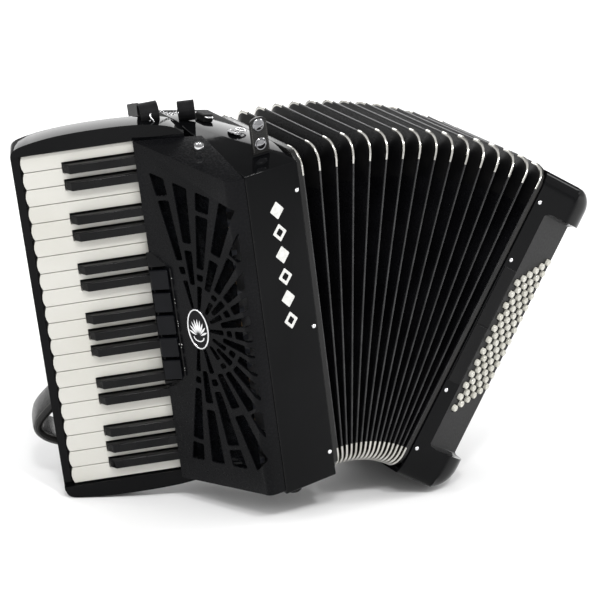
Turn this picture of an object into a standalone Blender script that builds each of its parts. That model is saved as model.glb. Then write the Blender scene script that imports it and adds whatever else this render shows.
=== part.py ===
"""Piano accordion: 34 treble keys, 72 bass buttons, bellows fanned open. Metres, +Z up.

Run with blender --background --python part.py, or from Blender's text editor.

Three frames carry everything. The treble frame has X towards the bellows, Y to the back and Z up the
keyboard, with its origin at the front bottom corner of the casing's bellows side. The keyboard frame
has X out along the keys and Y out of their playing surface. The bass frame is the treble frame's twin
at the far end of the bellows, turned about the pivot axis by the fan angle.
"""

from math import cos, pi, radians, sin

import bmesh
import bpy
from mathutils import Matrix, Vector

# Stance: the instrument stands on the keyboard's lower outer edge and the bass side's lower corner.
LEAN = radians(10.1)
STANCE = Vector((-0.0080, -0.12625, 0.0401))
GAP = 0.0003

# Treble casing
CASING_WIDTH = 0.060
CASING_DEPTH = 0.185
CASING_BOTTOM = 0.004
CASING_TOP = 0.362
CASING_SHOULDER = 0.378
PANEL_TOP = 0.354
TOP_RISE = 0.17
WALL = 0.005

# Keyboard
KEY_PITCH = 0.0183
WHITE_KEYS = 20
BLACK_AFTER = (1, 2, 4, 5, 7, 8, 10, 11, 12, 14, 15, 17, 18, 19)
KEYBOARD_TURN = radians(24)
KEYS_AT = Vector((-0.122, 0.114, 0.0143))
KEY_LENGTH = 0.1137
KEY_TAIL = 0.045
KEY_THICK = 0.009
KEY_GAP = 0.0007
BLACK_LENGTH = 0.072
BLACK_WIDTH = 0.0096
BLACK_HEIGHT = 0.009
BLACK_SLOPE = 0.006
AXLE_BACK = 0.022
AXLE_RADIUS = 0.0015
BED_TOP = -0.0145
BED_BACK = -0.024
CHEEK_FRONT = 0.004
LIP_WIDTH = 0.009
LIP_FRONT = -0.002
CHEEK_GAP = 0.001

# Grille and register switches
GRILLE_BOTTOM = 0.008
GRILLE_TOP = 0.352
GRILLE_RISE = 0.30
GRILLE_WALL = 0.0025
GRILLE_LIFT = 0.0105
RAYS = 18
REGISTERS = 5
REGISTER_PITCH = 0.025
REGISTER_MIDDLE = 0.188
REGISTER_LENGTH = 0.0216
REGISTER_WIDTH = 0.019
REGISTER_THICK = 0.005

# Bellows
FAN = radians(38.5)
PLEATS = 15
PLEAT_THICK = 0.0047
FOLD_GROUPS = 5
BELLOWS_START = 0.0062
BELLOWS_BOTTOM = 0.0083
BELLOWS_HEIGHT = 0.353
BELLOWS_FRONT = 0.002
BELLOWS_DEPTH = 0.170
PLEAT_DEPTH = 0.026
FOLD_THICK = 0.010
CORNER = 0.019

# Bass side
BASS_START = 0.0053
BASS_BOTTOM = -0.003
BASS_TOP = 0.350
BASS_DEPTH = 0.180
STRIP = 0.024
BOARD_TURN = radians(27)
BOARD_WIDTH = 0.067
BOARD_LOW = 0.036
BOARD_HIGH = 0.311
BOARD_THICK = 0.002
BASS_ROWS = 6
BASS_COLUMNS = 12
BUTTON_PITCH = 0.0134
BUTTON_ROW = 0.0095
BUTTON_RADIUS = 0.0036
BUTTON_HEIGHT = 0.0045
FIRST_BUTTON = Vector((0.0125, 0.084))

# Straps: each route is drawn from the strap's swing axis, which runs through its two lugs
OUTER_STRAP_AT = Vector((-0.006, -0.057, 0))
OUTER_ROUTE = [(0, 0.379), (0.003, 0.335), (0.012, 0.255), (0.040, 0.172), (0.084, 0.110), (0.126, 0.079),
               (0.1475, 0.055), (0.131, 0.037), (0.092, 0.031), (0.046, 0.027), (0.014, 0.019), (0.001, 0.005),
               (0, -0.010)]
INNER_STRAP_AT = Vector((-0.040, 0.219, 0))
INNER_ROUTE = [(0, 0.362), (-0.005, 0.320), (-0.018, 0.230), (-0.038, 0.150), (-0.048, 0.098), (-0.040, 0.066),
               (-0.016, 0.048), (-0.001, 0.034), (0, 0.016)]
STRAP_WIDTH = 0.058
PAD_THICK = 0.012
LUG_THICK = 0.003
LUG_HALF = 0.008
LUG_REACH = 0.012
LUG_CLEAR = 0.0012
CLIP_AT = Vector((-0.023, 0.030, 0.3610))
CLIP_HEIGHT = 0.038
HAND_ROUTE = [(0.0930, 0.3075), (0.104, 0.294), (0.114, 0.250), (0.118, 0.174), (0.114, 0.098),
              (0.104, 0.054), (0.0930, 0.0395)]
AIR_AT = Vector((0.0, 0.062, 0.292))

APEX_DROP = PLEATS * PLEAT_THICK / FAN
APEX = Vector((BELLOWS_START, 0, BELLOWS_BOTTOM - APEX_DROP))

SIDE = Matrix(((0, 0, 1, 0), (1, 0, 0, 0), (0, 1, 0, 0), (0, 0, 0, 1)))
FRONT = Matrix(((1, 0, 0, 0), (0, 0, -1, 0), (0, 1, 0, 0), (0, 0, 0, 1)))
PLAN = Matrix.Identity(4)


def clear_scene():
    for thing in list(bpy.data.objects):
        bpy.data.objects.remove(thing, do_unlink=True)


def new_collection(name):
    made = bpy.data.collections.new(name)
    bpy.context.scene.collection.children.link(made)
    return made


clear_scene()
PARTS = new_collection("piano_accordion")
CUTTERS = new_collection("cutters")


def material(name, colour, roughness, metallic=0.0):
    made = bpy.data.materials.new(name)
    made.use_nodes = True
    shader = made.node_tree.nodes["Principled BSDF"]
    shader.inputs["Base Color"].default_value = (*colour, 1)
    shader.inputs["Roughness"].default_value = roughness
    shader.inputs["Metallic"].default_value = metallic
    return made


def frame(name, parent=None, at=(0, 0, 0), turn_y=0.0, turn_z=0.0):
    """An empty that carries parts. It's turned about its Y or its Z axis."""
    made = bpy.data.objects.new(name, None)
    PARTS.objects.link(made)
    made.parent = parent
    made.location = at
    made.rotation_euler = (0, turn_y, turn_z)
    return made


def place(name, mesh, parent, at=(0, 0, 0), look=None, cutter=False):
    made = bpy.data.objects.new(name, mesh)
    (CUTTERS if cutter else PARTS).objects.link(made)
    made.parent = parent
    made.location = at
    if cutter:
        made.hide_render = True
        made.display_type = "WIRE"
    elif look and not mesh.materials:
        mesh.materials.append(look)
    return made


def smooth(mesh, angle=35):
    mesh.shade_smooth()
    mesh.set_sharp_from_angle(angle=radians(angle))
    return mesh


def box(name, low, high, rounding=0.0):
    """A box mesh from its low corner to its high one, with its edges chamfered by rounding."""
    low, high = Vector(low), Vector(high)
    size = high - low
    form = bmesh.new()
    shape = Matrix.Translation((low + high) / 2) @ Matrix.Diagonal((*size, 1))
    bmesh.ops.create_cube(form, size=1, matrix=shape)
    if rounding:
        bmesh.ops.bevel(form, geom=form.edges[:], offset=rounding, segments=1, affect="EDGES")
    mesh = bpy.data.meshes.new(name)
    form.to_mesh(mesh)
    form.free()
    return mesh


def cylinder(name, radius, low, high, axis="Z", sides=16):
    """A closed cylinder mesh along an axis, from low to high on it."""
    turn = {"X": Matrix.Rotation(pi / 2, 4, "Y"), "Y": Matrix.Rotation(-pi / 2, 4, "X")}
    form = bmesh.new()
    bmesh.ops.create_cone(form, cap_ends=True, segments=sides, radius1=radius, radius2=radius,
                          depth=high - low, matrix=Matrix.Translation((0, 0, (low + high) / 2)))
    bmesh.ops.transform(form, matrix=turn.get(axis, PLAN), verts=form.verts)
    mesh = bpy.data.meshes.new(name)
    form.to_mesh(mesh)
    form.free()
    return smooth(mesh)


def curve_to_mesh(curve, name):
    """The evaluated mesh of a curve, with its caps welded."""
    holder = bpy.data.objects.new(name, curve)
    PARTS.objects.link(holder)
    seen = bpy.context.evaluated_depsgraph_get()
    mesh = bpy.data.meshes.new_from_object(holder.evaluated_get(seen))
    bpy.data.objects.remove(holder, do_unlink=True)
    form = bmesh.new()
    form.from_mesh(mesh)
    bmesh.ops.remove_doubles(form, verts=form.verts, dist=0.00001)
    bmesh.ops.recalc_face_normals(form, faces=form.faces)
    form.to_mesh(mesh)
    form.free()
    mesh.name = name
    return mesh


def slab(name, outlines, low, high, facing=PLAN):
    """Flat outlines made low to high thick. A second outline inside the first is a hole.

    PLAN draws in X and Y, SIDE in Y and Z, and FRONT in X and Z, where low and high are minus Y."""
    curve = bpy.data.curves.new(name, "CURVE")
    curve.dimensions = "2D"
    curve.fill_mode = "BOTH"
    curve.extrude = (high - low) / 2
    curve.resolution_u = 1
    for outline in outlines:
        spline = curve.splines.new("POLY")
        spline.points.add(len(outline) - 1)
        for point, (u, v) in zip(spline.points, outline):
            point.co = (u, v, 0, 1)
        spline.use_cyclic_u = True
    mesh = curve_to_mesh(curve, name)
    mesh.transform(facing @ Matrix.Translation((0, 0, (low + high) / 2)))
    return mesh


def rounded(u0, v0, u1, v1, radius, steps=3):
    """A rectangle's outline with round corners."""
    corners = ((u1 - radius, v1 - radius, 0), (u0 + radius, v1 - radius, 1),
               (u0 + radius, v0 + radius, 2), (u1 - radius, v0 + radius, 3))
    return [(u + radius * cos(pi / 2 * (turn + i / steps)), v + radius * sin(pi / 2 * (turn + i / steps)))
            for u, v, turn in corners for i in range(steps + 1)]


def combine(target, other, operation="DIFFERENCE"):
    step = target.modifiers.new(other.name, "BOOLEAN")
    step.operation = operation
    step.object = other


def cut(target, mesh, at=None):
    place_in = target.parent
    combine(target, place(mesh.name, mesh, place_in, at or target.location, cutter=True))


def join(target, mesh, at=None):
    combine(target, place(mesh.name, mesh, target.parent, at or target.location, cutter=True), "UNION")


def shave(mesh, point, normal):
    """Cut a closed mesh by a plane, drop what the normal points at and close the cut."""
    form = bmesh.new()
    form.from_mesh(mesh)
    everything = form.verts[:] + form.edges[:] + form.faces[:]
    done = bmesh.ops.bisect_plane(form, geom=everything, dist=1e-7, plane_co=point, plane_no=normal,
                                  clear_outer=True)
    edges = [item for item in done["geom_cut"] if isinstance(item, bmesh.types.BMEdge)]
    bmesh.ops.contextual_create(form, geom=edges)
    bmesh.ops.recalc_face_normals(form, faces=form.faces)
    form.to_mesh(mesh)
    form.free()
    return mesh


BLACK_LACQUER = material("black_lacquer", (0.006, 0.006, 0.007), 0.12)
SATIN_BLACK = material("satin_black", (0.022, 0.022, 0.025), 0.42)
IVORY = material("white_key", (0.80, 0.79, 0.73), 0.22)
EBONY = material("black_key", (0.008, 0.008, 0.008), 0.25)
CHROME = material("chrome", (0.80, 0.80, 0.82), 0.12, 1.0)
STEEL = material("steel", (0.55, 0.56, 0.58), 0.35, 1.0)
WOOD = material("spruce", (0.60, 0.42, 0.24), 0.55)
BELLOWS_CLOTH = material("bellows_cloth", (0.012, 0.012, 0.014), 0.60)
LEATHER = material("black_leather", (0.015, 0.015, 0.016), 0.50)
PAD = material("strap_pad", (0.012, 0.012, 0.013), 0.55)
CREAM = material("cream_button", (0.72, 0.71, 0.64), 0.30)


def pivot_point():
    """The one axis about which the bass side turns from the fan to a closed stack of pleats."""
    open_end = APEX_DROP * Vector((sin(FAN), 0, cos(FAN) - 1))
    shut_end = Vector((PLEATS * PLEAT_THICK, 0, 0))
    move = shut_end - open_end
    reach = move.length / (2 * sin(FAN / 2)) * cos(FAN / 2)
    sideways = Vector((-move.z, 0, move.x)).normalized()
    return Vector((BELLOWS_START, 0, BELLOWS_BOTTOM)) + (open_end + shut_end) / 2 + sideways * reach


TREBLE = frame("treble_frame", at=STANCE, turn_y=-LEAN)
KEYBOARD = frame("keyboard_frame", TREBLE, KEYS_AT, turn_z=pi - KEYBOARD_TURN)
PIVOT = pivot_point()


def fan_frame(name, share):
    """A frame on the pleat that lies a share of the way along the bellows, under an empty on the axis."""
    angle = FAN * share
    hinge = frame(name + "_pivot", TREBLE, PIVOT, turn_y=angle)
    from_apex = Matrix.Rotation(-angle, 3, "Y") @ (PIVOT - APEX)
    return frame(name + "_frame", hinge, Vector((0, 0, APEX_DROP)) - from_apex)


BASS = fan_frame("bass", 1)


def casing():
    outline = [(-CASING_WIDTH, CASING_BOTTOM), (0, CASING_BOTTOM + 0.002), (0, CASING_TOP),
               (-CASING_WIDTH, CASING_SHOULDER)]
    mesh = slab("treble_casing", [outline], -CASING_DEPTH, 0, FRONT)
    shave(mesh, (0, 0, PANEL_TOP), Vector((0, -TOP_RISE, 1)))
    shell = place("treble_casing", mesh, TREBLE, look=BLACK_LACQUER)
    hollow = slab("casing_hollow", [[(-CASING_WIDTH + WALL, CASING_BOTTOM + 2 * WALL), (0.01, 0.014),
                                     (0.01, 0.350), (-CASING_WIDTH + WALL, 0.350)]],
                  WALL - CASING_DEPTH, -WALL, FRONT)
    cut(shell, hollow)
    for n, (x, y) in enumerate(((-0.038, 0.025), (-0.038, 0.160))):
        foot = cylinder(f"casing_foot_{n}", 0.008, -0.008, 0.008, sides=12)
        join(shell, foot, (x, y, 0))
    lugs(shell, "inner", INNER_ROUTE, INNER_STRAP_AT, CASING_DEPTH - 0.003, INNER_STRAP_AT.y + LUG_REACH)


def lugs(base, name, route, at, y0, y1):
    """Two plates on a body, just above and below the ends of a strap."""
    high = route[0][1] + LUG_CLEAR
    low = route[-1][1] - LUG_CLEAR - LUG_THICK
    for end, z in (("high", high), ("low", low)):
        join(base, box(f"{name}_lug_{end}", (at.x - LUG_HALF, y0, z), (at.x + LUG_HALF, y1, z + LUG_THICK)))


def keyboard_outline():
    """The end cheeks' arched outline, drawn in the keyboard frame's X and Z."""
    outer = KEY_LENGTH + LIP_WIDTH
    top = KEY_PITCH * WHITE_KEYS
    return [(-0.052, top + 0.001), (-0.040, top + 0.010), (-0.011, top + 0.0165), (0.030, top + 0.0185),
            (0.075, top + 0.0175), (0.110, top + 0.0125), (outer - 0.002, top + 0.007), (outer, top),
            (outer, -0.006), (outer - 0.006, -0.014), (0.060, -0.0185), (0.000, -0.017),
            (-0.040, -0.009), (-0.052, 0.0)]


def keyboard_base():
    mesh = slab("keyboard_base", [keyboard_outline()], -CHEEK_FRONT, -BED_BACK, FRONT)
    base = place("keyboard_base", mesh, KEYBOARD, look=BLACK_LACQUER)
    top = KEY_PITCH * WHITE_KEYS + CHEEK_GAP
    edge = KEY_LENGTH + CHEEK_GAP
    cut(base, box("key_well", (-0.10, BED_TOP, -CHEEK_GAP), (edge, 0.05, top)))
    cut(base, box("lip_step", (edge - 0.01, LIP_FRONT, -CHEEK_GAP), (0.20, 0.05, top)))
    lugs(base, "outer", OUTER_ROUTE, OUTER_STRAP_AT, OUTER_STRAP_AT.y - LUG_REACH, BED_BACK + 0.003)
    axle = cylinder("key_axle", AXLE_RADIUS, 0, KEY_PITCH * WHITE_KEYS)
    place("key_axle", axle, KEYBOARD, (-AXLE_BACK, -KEY_THICK - GAP - AXLE_RADIUS, 0), STEEL)


def key_pivot(z):
    return Vector((-AXLE_BACK, -KEY_THICK - GAP - AXLE_RADIUS, z))


def white_key(number):
    """A white key, drawn from its own pivot, narrowed beside its black neighbours."""
    top, low = -KEY_GAP / 2, KEY_GAP / 2 - KEY_PITCH
    reach, tail = AXLE_BACK + KEY_LENGTH, AXLE_BACK - KEY_TAIL
    step = AXLE_BACK + BLACK_LENGTH + 0.001
    notch = BLACK_WIDTH / 2 + 0.0007
    over = top - notch if number - 1 in BLACK_AFTER else top
    under = low + notch if number in BLACK_AFTER else low
    middle = (top + low) / 2
    outline = [(tail, over), (step, over), (step, top), (reach - 0.0022, top), (reach - 0.0006, middle + 0.0045),
               (reach, middle), (reach - 0.0006, middle - 0.0045), (reach - 0.0022, low), (step, low),
               (step, under), (tail, under)]
    tidy = [p for n, p in enumerate(outline) if p != outline[n - 1]]
    high = KEY_THICK + GAP + AXLE_RADIUS
    mesh = slab("white_key", [tidy], -high, KEY_THICK - high, FRONT)
    at = key_pivot(KEY_PITCH * (WHITE_KEYS + 1 - number))
    place(f"white_key_{number:02d}", mesh, KEYBOARD, at, IVORY)


def black_key(number, after):
    reach, tail = AXLE_BACK + BLACK_LENGTH, AXLE_BACK - KEY_TAIL
    foot = GAP + AXLE_RADIUS
    face = foot + KEY_THICK
    head = face + BLACK_HEIGHT
    outline = [(tail, foot), (reach, foot), (reach, face + 0.002), (reach - BLACK_SLOPE, head),
               (AXLE_BACK - 0.012, head), (tail, face)]
    mesh = slab("black_key", [outline], -BLACK_WIDTH / 2, BLACK_WIDTH / 2)
    at = key_pivot(KEY_PITCH * (WHITE_KEYS - after))
    place(f"black_key_{number:02d}", mesh, KEYBOARD, at, EBONY)


def keyboard_point(along, out):
    """A point of the keyboard frame in the treble frame's X and Y."""
    turn = KEYBOARD_TURN
    return (KEYS_AT.x - along * cos(turn) - out * sin(turn), KEYS_AT.y + along * sin(turn) - out * cos(turn))


def grille():
    """The pierced cover between the keys and the casing, a bent sheet closed at its top and bottom."""
    edge = -CASING_WIDTH - GAP
    rim = keyboard_point(0, GRILLE_LIFT)
    back = keyboard_point(-0.0690, CHEEK_FRONT + 2 * GAP)
    outer = [(edge, 0), (-0.070, 0.0), (-0.0765, 0.002), (-0.0805, 0.007), rim, (edge, back[1])]
    wall = GRILLE_WALL
    inner = [(edge + 0.01, wall), (-0.0695, wall), (-0.0780, 0.0085),
             (rim[0] + wall * 1.1, rim[1] - 0.0005), (rim[0] + 0.002, rim[1] + 0.01), (edge + 0.01, back[1] + 0.01)]
    mesh = slab("treble_grille", [outer], GRILLE_BOTTOM, 0.42)
    shave(mesh, (0, 0, GRILLE_TOP), Vector((0, -GRILLE_RISE, 1)))
    cover = place("treble_grille", mesh, TREBLE, look=SATIN_BLACK)
    hollow = slab("grille_hollow", [inner], GRILLE_BOTTOM + wall, 0.42)
    shave(hollow, (0, 0, GRILLE_TOP - wall), Vector((0, -GRILLE_RISE, 1)))
    cut(cover, hollow)
    block = slab("register_block", [[keyboard_point(0.003, GRILLE_LIFT + GAP), keyboard_point(0.003, 0.021),
                                     keyboard_point(-0.021, 0.0275), keyboard_point(-0.024, 0.0290),
                                     keyboard_point(-0.024, 0.0240), keyboard_point(-0.005, GRILLE_LIFT + GAP)]],
                 REGISTER_MIDDLE - 0.076, REGISTER_MIDDLE + 0.076)
    join(cover, block)
    pocket = register_box("register_pocket", -0.0215, -0.0005, -0.0045, 0.004,
                          REGISTER_MIDDLE - 0.0635, REGISTER_MIDDLE + 0.0635)
    cut(cover, pocket)
    sunburst(cover, rim)


def register_box(name, x0, x1, y0, y1, z0, z1):
    """A box drawn from the register block's face, turned into the treble frame."""
    mesh = box(name, (x0, y0, z0), (x1, y1, z1))
    mesh.transform(register_matrix())
    return mesh


def register_matrix():
    """The register block's face: X runs out over the keys and Y out of the face."""
    at = keyboard_point(0.003, 0.021)
    slope = Vector((0.024, -0.0065)).normalized()
    turn = pi - KEYBOARD_TURN
    tilt = -Vector((1, 0)).angle(slope)
    return Matrix.Translation((at[0], at[1], 0)) @ Matrix.Rotation(turn + tilt, 4, "Z")


def sunburst(cover, rim):
    """Slots that radiate over the cover's sloping face from a closed oval around its middle."""
    start = Vector((-0.0805, 0.007))
    along = Vector(rim) - start
    width = along.length
    middle = (width * 0.50, 0.186)
    slots = []
    for n in range(RAYS):
        angle = 2 * pi * (n + 0.5) / RAYS
        ray = Vector((cos(angle), sin(angle)))
        limit = min(width * 0.42 / max(abs(ray.x), 1e-6), 0.160 / max(abs(ray.y), 1e-6))
        side = Vector((-ray.y, ray.x))
        near, far = ray * 0.026, ray * limit * 0.9
        if limit * 0.9 > 0.034:
            slots.append([near + side * 0.0018, near - side * 0.0018, far - side * 0.0042, far + side * 0.0042])
    tool = bmesh.new()
    for slot in slots:
        piece = slab("slot", [[(p.x + middle[0], p.y + middle[1]) for p in slot]], -0.008, 0.004, FRONT)
        tool.from_mesh(piece)
    mesh = bpy.data.meshes.new("sunburst_slots")
    tool.to_mesh(mesh)
    tool.free()
    angle = Vector((1, 0)).angle_signed(along)
    mesh.transform(Matrix.Translation((*start, 0)) @ Matrix.Rotation(-angle, 4, "Z"))
    cut(cover, mesh)


def registers():
    turned = register_matrix()
    for n in range(REGISTERS):
        z = REGISTER_MIDDLE + REGISTER_PITCH * ((REGISTERS - 1) / 2 - n)
        half = REGISTER_LENGTH / 2
        mesh = box("register_switch", (0, -0.001, -half), (REGISTER_WIDTH, REGISTER_THICK - 0.001, half), 0.001)
        switch = place(f"register_switch_{n + 1}", mesh, TREBLE, look=EBONY)
        switch.matrix_local = turned @ Matrix.Translation((-REGISTER_WIDTH - 0.0015, 0, z))


def reed_block(name, parent, low, high):
    """A wooden block with a comb of chambers along one side."""
    block = place(name, box(name, low, high, 0.002), parent, look=WOOD)
    count = 6
    step = (high[2] - low[2]) / count
    for n in range(count):
        z = low[2] + step * (n + 0.5)
        cut(block, box(f"{name}_chamber_{n}", (low[0] - 0.01, low[1] + 0.008, z - step * 0.36),
                       (low[0] + 0.012, high[1] - 0.008, z + step * 0.36)))


def pleat_ring(name, parent, low, high, look, depth=PLEAT_DEPTH):
    y0, y1 = BELLOWS_FRONT, BELLOWS_FRONT + BELLOWS_DEPTH
    outer = rounded(y0, 0, y1, BELLOWS_HEIGHT, CORNER)
    inner = rounded(y0 + depth, depth, y1 - depth, BELLOWS_HEIGHT - depth, CORNER / 3, 1)
    place(name, slab(name, [outer, inner], low, high, SIDE), parent, look=look)


def bellows():
    pleat_ring("bellows_frame_treble", fan_frame("start", 0), GAP - BELLOWS_START, -GAP, WOOD, 0.016)
    for n in range(1, FOLD_GROUPS + 1):
        group = fan_frame(f"fold_{n}", n / (FOLD_GROUPS + 1))
        pleat_ring(f"bellows_fold_{n}", group, -FOLD_THICK / 2, FOLD_THICK / 2, BELLOWS_CLOTH)
    pleat_ring("bellows_frame_bass", BASS, GAP, BASS_START - GAP, WOOD, 0.016)


def band(name, route, width, thick, parent, look, at=(0, 0, 0)):
    """A flat strap along a route in its frame's X and Z, with its width along Y."""
    line = [Vector(p) for p in route]
    sides = ([], [])
    for n, point in enumerate(line):
        run = (line[min(n + 1, len(line) - 1)] - line[max(n - 1, 0)]).normalized()
        across = Vector((-run.y, run.x)) * thick / 2
        sides[0].append(point + across)
        sides[1].append(point - across)
    outline = [tuple(p) for p in sides[0] + sides[1][::-1]]
    return place(name, slab(name, [outline], -width / 2, width / 2, FRONT), parent, at, look)


def smooth_route(points, steps=3):
    """Points along a smooth curve through the ones given."""
    line = [Vector(p) for p in points]
    ends = [line[0] * 2 - line[1]] + line + [line[-1] * 2 - line[-2]]
    made = []
    for a, b, c, d in zip(ends, ends[1:], ends[2:], ends[3:]):
        for n in range(steps):
            t = n / steps
            made.append(0.5 * (2 * b + (c - a) * t + (2 * a - 5 * b + 4 * c - d) * t * t
                               + (3 * b - a - 3 * c + d) * t ** 3))
    return made + [line[-1]]


def straps():
    """Two padded shoulder straps that hang from lugs behind the instrument, and the bellows' clip strap."""
    for side, route, carrier, at in (("outer", OUTER_ROUTE, KEYBOARD, OUTER_STRAP_AT),
                                     ("inner", INNER_ROUTE, TREBLE, INNER_STRAP_AT)):
        band("shoulder_strap_" + side, smooth_route(route), STRAP_WIDTH, PAD_THICK, carrier, PAD, at)
    tab = box("bellows_clip_strap", (-0.0085, -0.0015, 0), (0.0085, 0.0015, CLIP_HEIGHT), 0.0008)
    place("bellows_clip_strap", tab, TREBLE, CLIP_AT, LEATHER)


def board_point(across, out=0.0):
    """A point of the button board's slope in the bass frame's X and Y."""
    turn = BOARD_TURN
    return (STRIP + across * cos(turn) + out * sin(turn), across * sin(turn) - out * cos(turn))


def bass_casing():
    back = BASS_DEPTH
    cheek = [(BASS_START, 0), (0.055, 0), (0.080, 0.011), (0.094, 0.030), (0.098, 0.055), (0.098, back),
             (BASS_START, back)]
    body = slab("bass_casing", [cheek], BASS_BOTTOM, BASS_TOP)
    for x0, x1, rise0, rise1 in ((0.070, 0.088, 0.0, 0.007), (0.088, 0.098, 0.007, 0.023)):
        run, rise = x1 - x0, rise1 - rise0
        shave(body, (x0, 0, BASS_BOTTOM + rise0), Vector((rise, 0, -run)))
        shave(body, (x0, 0, BASS_TOP - rise0), Vector((rise, 0, run)))
    shell = place("bass_casing", body, BASS, look=BLACK_LACQUER)
    edge = board_point(BOARD_WIDTH, -BOARD_THICK - GAP)
    recess = [board_point(0, 0.02), board_point(0, -BOARD_THICK - GAP), edge, (edge[0], 0.2), (0.14, 0.2),
              (0.14, -0.02)]
    cut(shell, slab("bass_recess", [recess], BOARD_LOW, BOARD_HIGH))
    hollow = [(0, WALL), (STRIP - 0.003, WALL), board_point(0.0585, -0.008), (edge[0] - WALL, 0.042),
              (edge[0] - WALL, back - WALL), (0, back - WALL)]
    cut(shell, slab("bass_hollow", [hollow], BASS_BOTTOM + WALL, BASS_TOP - WALL))
    window = [board_point(0.0070, 0.01), board_point(0.0070, -0.012), board_point(0.0650, -0.012),
              board_point(0.0650, 0.01)]
    cut(shell, slab("button_window", [window], 0.073, 0.276))
    air = cylinder("air_button_bore", 0.0085, 0.060, 0.12, "X")
    cut(shell, air, AIR_AT)


def button_board():
    outline = [board_point(GAP, -BOARD_THICK), board_point(BOARD_WIDTH - GAP, -BOARD_THICK),
               board_point(BOARD_WIDTH - GAP), board_point(GAP)]
    board = slab("bass_button_board", [outline], BOARD_LOW + GAP, BOARD_HIGH - GAP)
    made = place("bass_button_board", board, BASS, look=SATIN_BLACK)
    hole = [board_point(0.0075, 0.01), board_point(0.0075, -0.01), board_point(0.0645, -0.01),
            board_point(0.0645, 0.01)]
    cut(made, slab("button_hole", [hole], 0.0745, 0.2745))


def bass_buttons():
    """All the buttons on one backing plate, which fills the board's opening."""
    plate = [board_point(0.0080, -0.0018), board_point(0.0640, -0.0018), board_point(0.0640, -0.0004),
             board_point(0.0080, -0.0004)]
    made = place("bass_buttons", slab("bass_buttons", [plate], 0.0750, 0.2740), BASS, look=CREAM)
    form = bmesh.new()
    turn = Matrix.Rotation(BOARD_TURN, 4, "Z")
    for row in range(BASS_ROWS):
        for column in range(BASS_COLUMNS):
            x, y = board_point(FIRST_BUTTON.x + BUTTON_ROW * row)
            z = FIRST_BUTTON.y + BUTTON_PITCH * (column + row / 2)
            stub = Matrix.Translation((x, y, z)) @ turn @ Matrix.Rotation(pi / 2, 4, "X")
            lift = Matrix.Translation((0, 0, (BUTTON_HEIGHT - 0.001) / 2))
            bmesh.ops.create_cone(form, cap_ends=True, segments=8, radius1=BUTTON_RADIUS,
                                  radius2=BUTTON_RADIUS * 0.85, depth=BUTTON_HEIGHT + 0.001, matrix=stub @ lift)
    mesh = bpy.data.meshes.new("button_stubs")
    form.to_mesh(mesh)
    form.free()
    join(made, mesh)


def bass_fittings():
    band("bass_strap", smooth_route(HAND_ROUTE), 0.055, 0.004, BASS, LEATHER, (0, 0.118, 0))
    knob = cylinder("air_button", 0.0075, -0.010, 0.009, "X")
    place("air_button", knob, BASS, AIR_AT + Vector((0.0835, 0, 0)), CHROME)


def build():
    casing()
    keyboard_base()
    for number in range(1, WHITE_KEYS + 1):
        white_key(number)
    for number, after in enumerate(BLACK_AFTER, 1):
        black_key(number, after)
    grille()
    registers()
    reed_block("treble_reed_block", TREBLE, (-0.046, 0.040, 0.050), (-0.012, 0.140, 0.310))
    bellows()
    straps()
    bass_casing()
    button_board()
    bass_buttons()
    bass_fittings()
    reed_block("bass_reed_block", BASS, (0.020, 0.060, 0.050), (0.044, 0.150, 0.290))


build()
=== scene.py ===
"""The looks of the piano accordion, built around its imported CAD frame. Metres, +Z up.

The frames are the CAD's own: TREBLE has X towards the bellows, Y to the back and Z up the keyboard;
KEYBOARD has X out along the keys and Y out of their playing surface; fan(share) stands on the bellows'
pleat that lies that share of the way along them, and BASS is its last.
"""

from math import asin, atan2, cos, pi, radians, sin, tan

import bmesh
import bpy
from mathutils import Matrix, Vector, noise


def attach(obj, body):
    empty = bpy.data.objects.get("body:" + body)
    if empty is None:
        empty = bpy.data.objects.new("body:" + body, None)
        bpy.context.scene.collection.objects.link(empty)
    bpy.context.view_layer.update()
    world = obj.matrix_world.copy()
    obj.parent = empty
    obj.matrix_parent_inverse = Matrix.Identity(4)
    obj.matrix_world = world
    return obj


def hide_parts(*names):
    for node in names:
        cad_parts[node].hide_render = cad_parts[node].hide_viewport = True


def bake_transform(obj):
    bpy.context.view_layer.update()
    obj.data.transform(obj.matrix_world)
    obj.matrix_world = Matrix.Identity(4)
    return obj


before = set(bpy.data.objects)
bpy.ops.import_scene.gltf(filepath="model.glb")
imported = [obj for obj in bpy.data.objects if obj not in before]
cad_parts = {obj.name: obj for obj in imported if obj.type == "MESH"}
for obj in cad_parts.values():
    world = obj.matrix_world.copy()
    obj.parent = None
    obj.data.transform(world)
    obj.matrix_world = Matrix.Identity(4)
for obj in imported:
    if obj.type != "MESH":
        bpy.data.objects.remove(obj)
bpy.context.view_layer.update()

TREBLE_BODY, BASS_BODY = "treble_side", "bass_side"

# The CAD's driving sizes
LEAN = radians(10.1)
STANCE = Vector((-0.0080, -0.12625, 0.0401))
CASING_WIDTH, CASING_DEPTH, CASING_BOTTOM = 0.060, 0.185, 0.004
CASING_TOP, CASING_SHOULDER, PANEL_TOP, TOP_RISE = 0.362, 0.378, 0.354, 0.17
KEY_PITCH, WHITE_KEYS = 0.0183, 20
BLACK_AFTER = (1, 2, 4, 5, 7, 8, 10, 11, 12, 14, 15, 17, 18, 19)
KEYBOARD_TURN = radians(24)
KEYS_AT = Vector((-0.122, 0.114, 0.0143))
GRILLE_BOTTOM, GRILLE_TOP, GRILLE_RISE, GRILLE_LIFT = 0.008, 0.352, 0.30, 0.0105
REGISTERS, REGISTER_PITCH, REGISTER_MIDDLE = 5, 0.025, 0.188
FAN = radians(38.5)
PLEATS, PLEAT_THICK, PLEAT_DEPTH = 15, 0.0047, 0.026
BELLOWS_START, BELLOWS_BOTTOM, BELLOWS_HEIGHT = 0.0062, 0.0083, 0.353
BELLOWS_FRONT, BELLOWS_DEPTH, CORNER = 0.002, 0.170, 0.019
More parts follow.
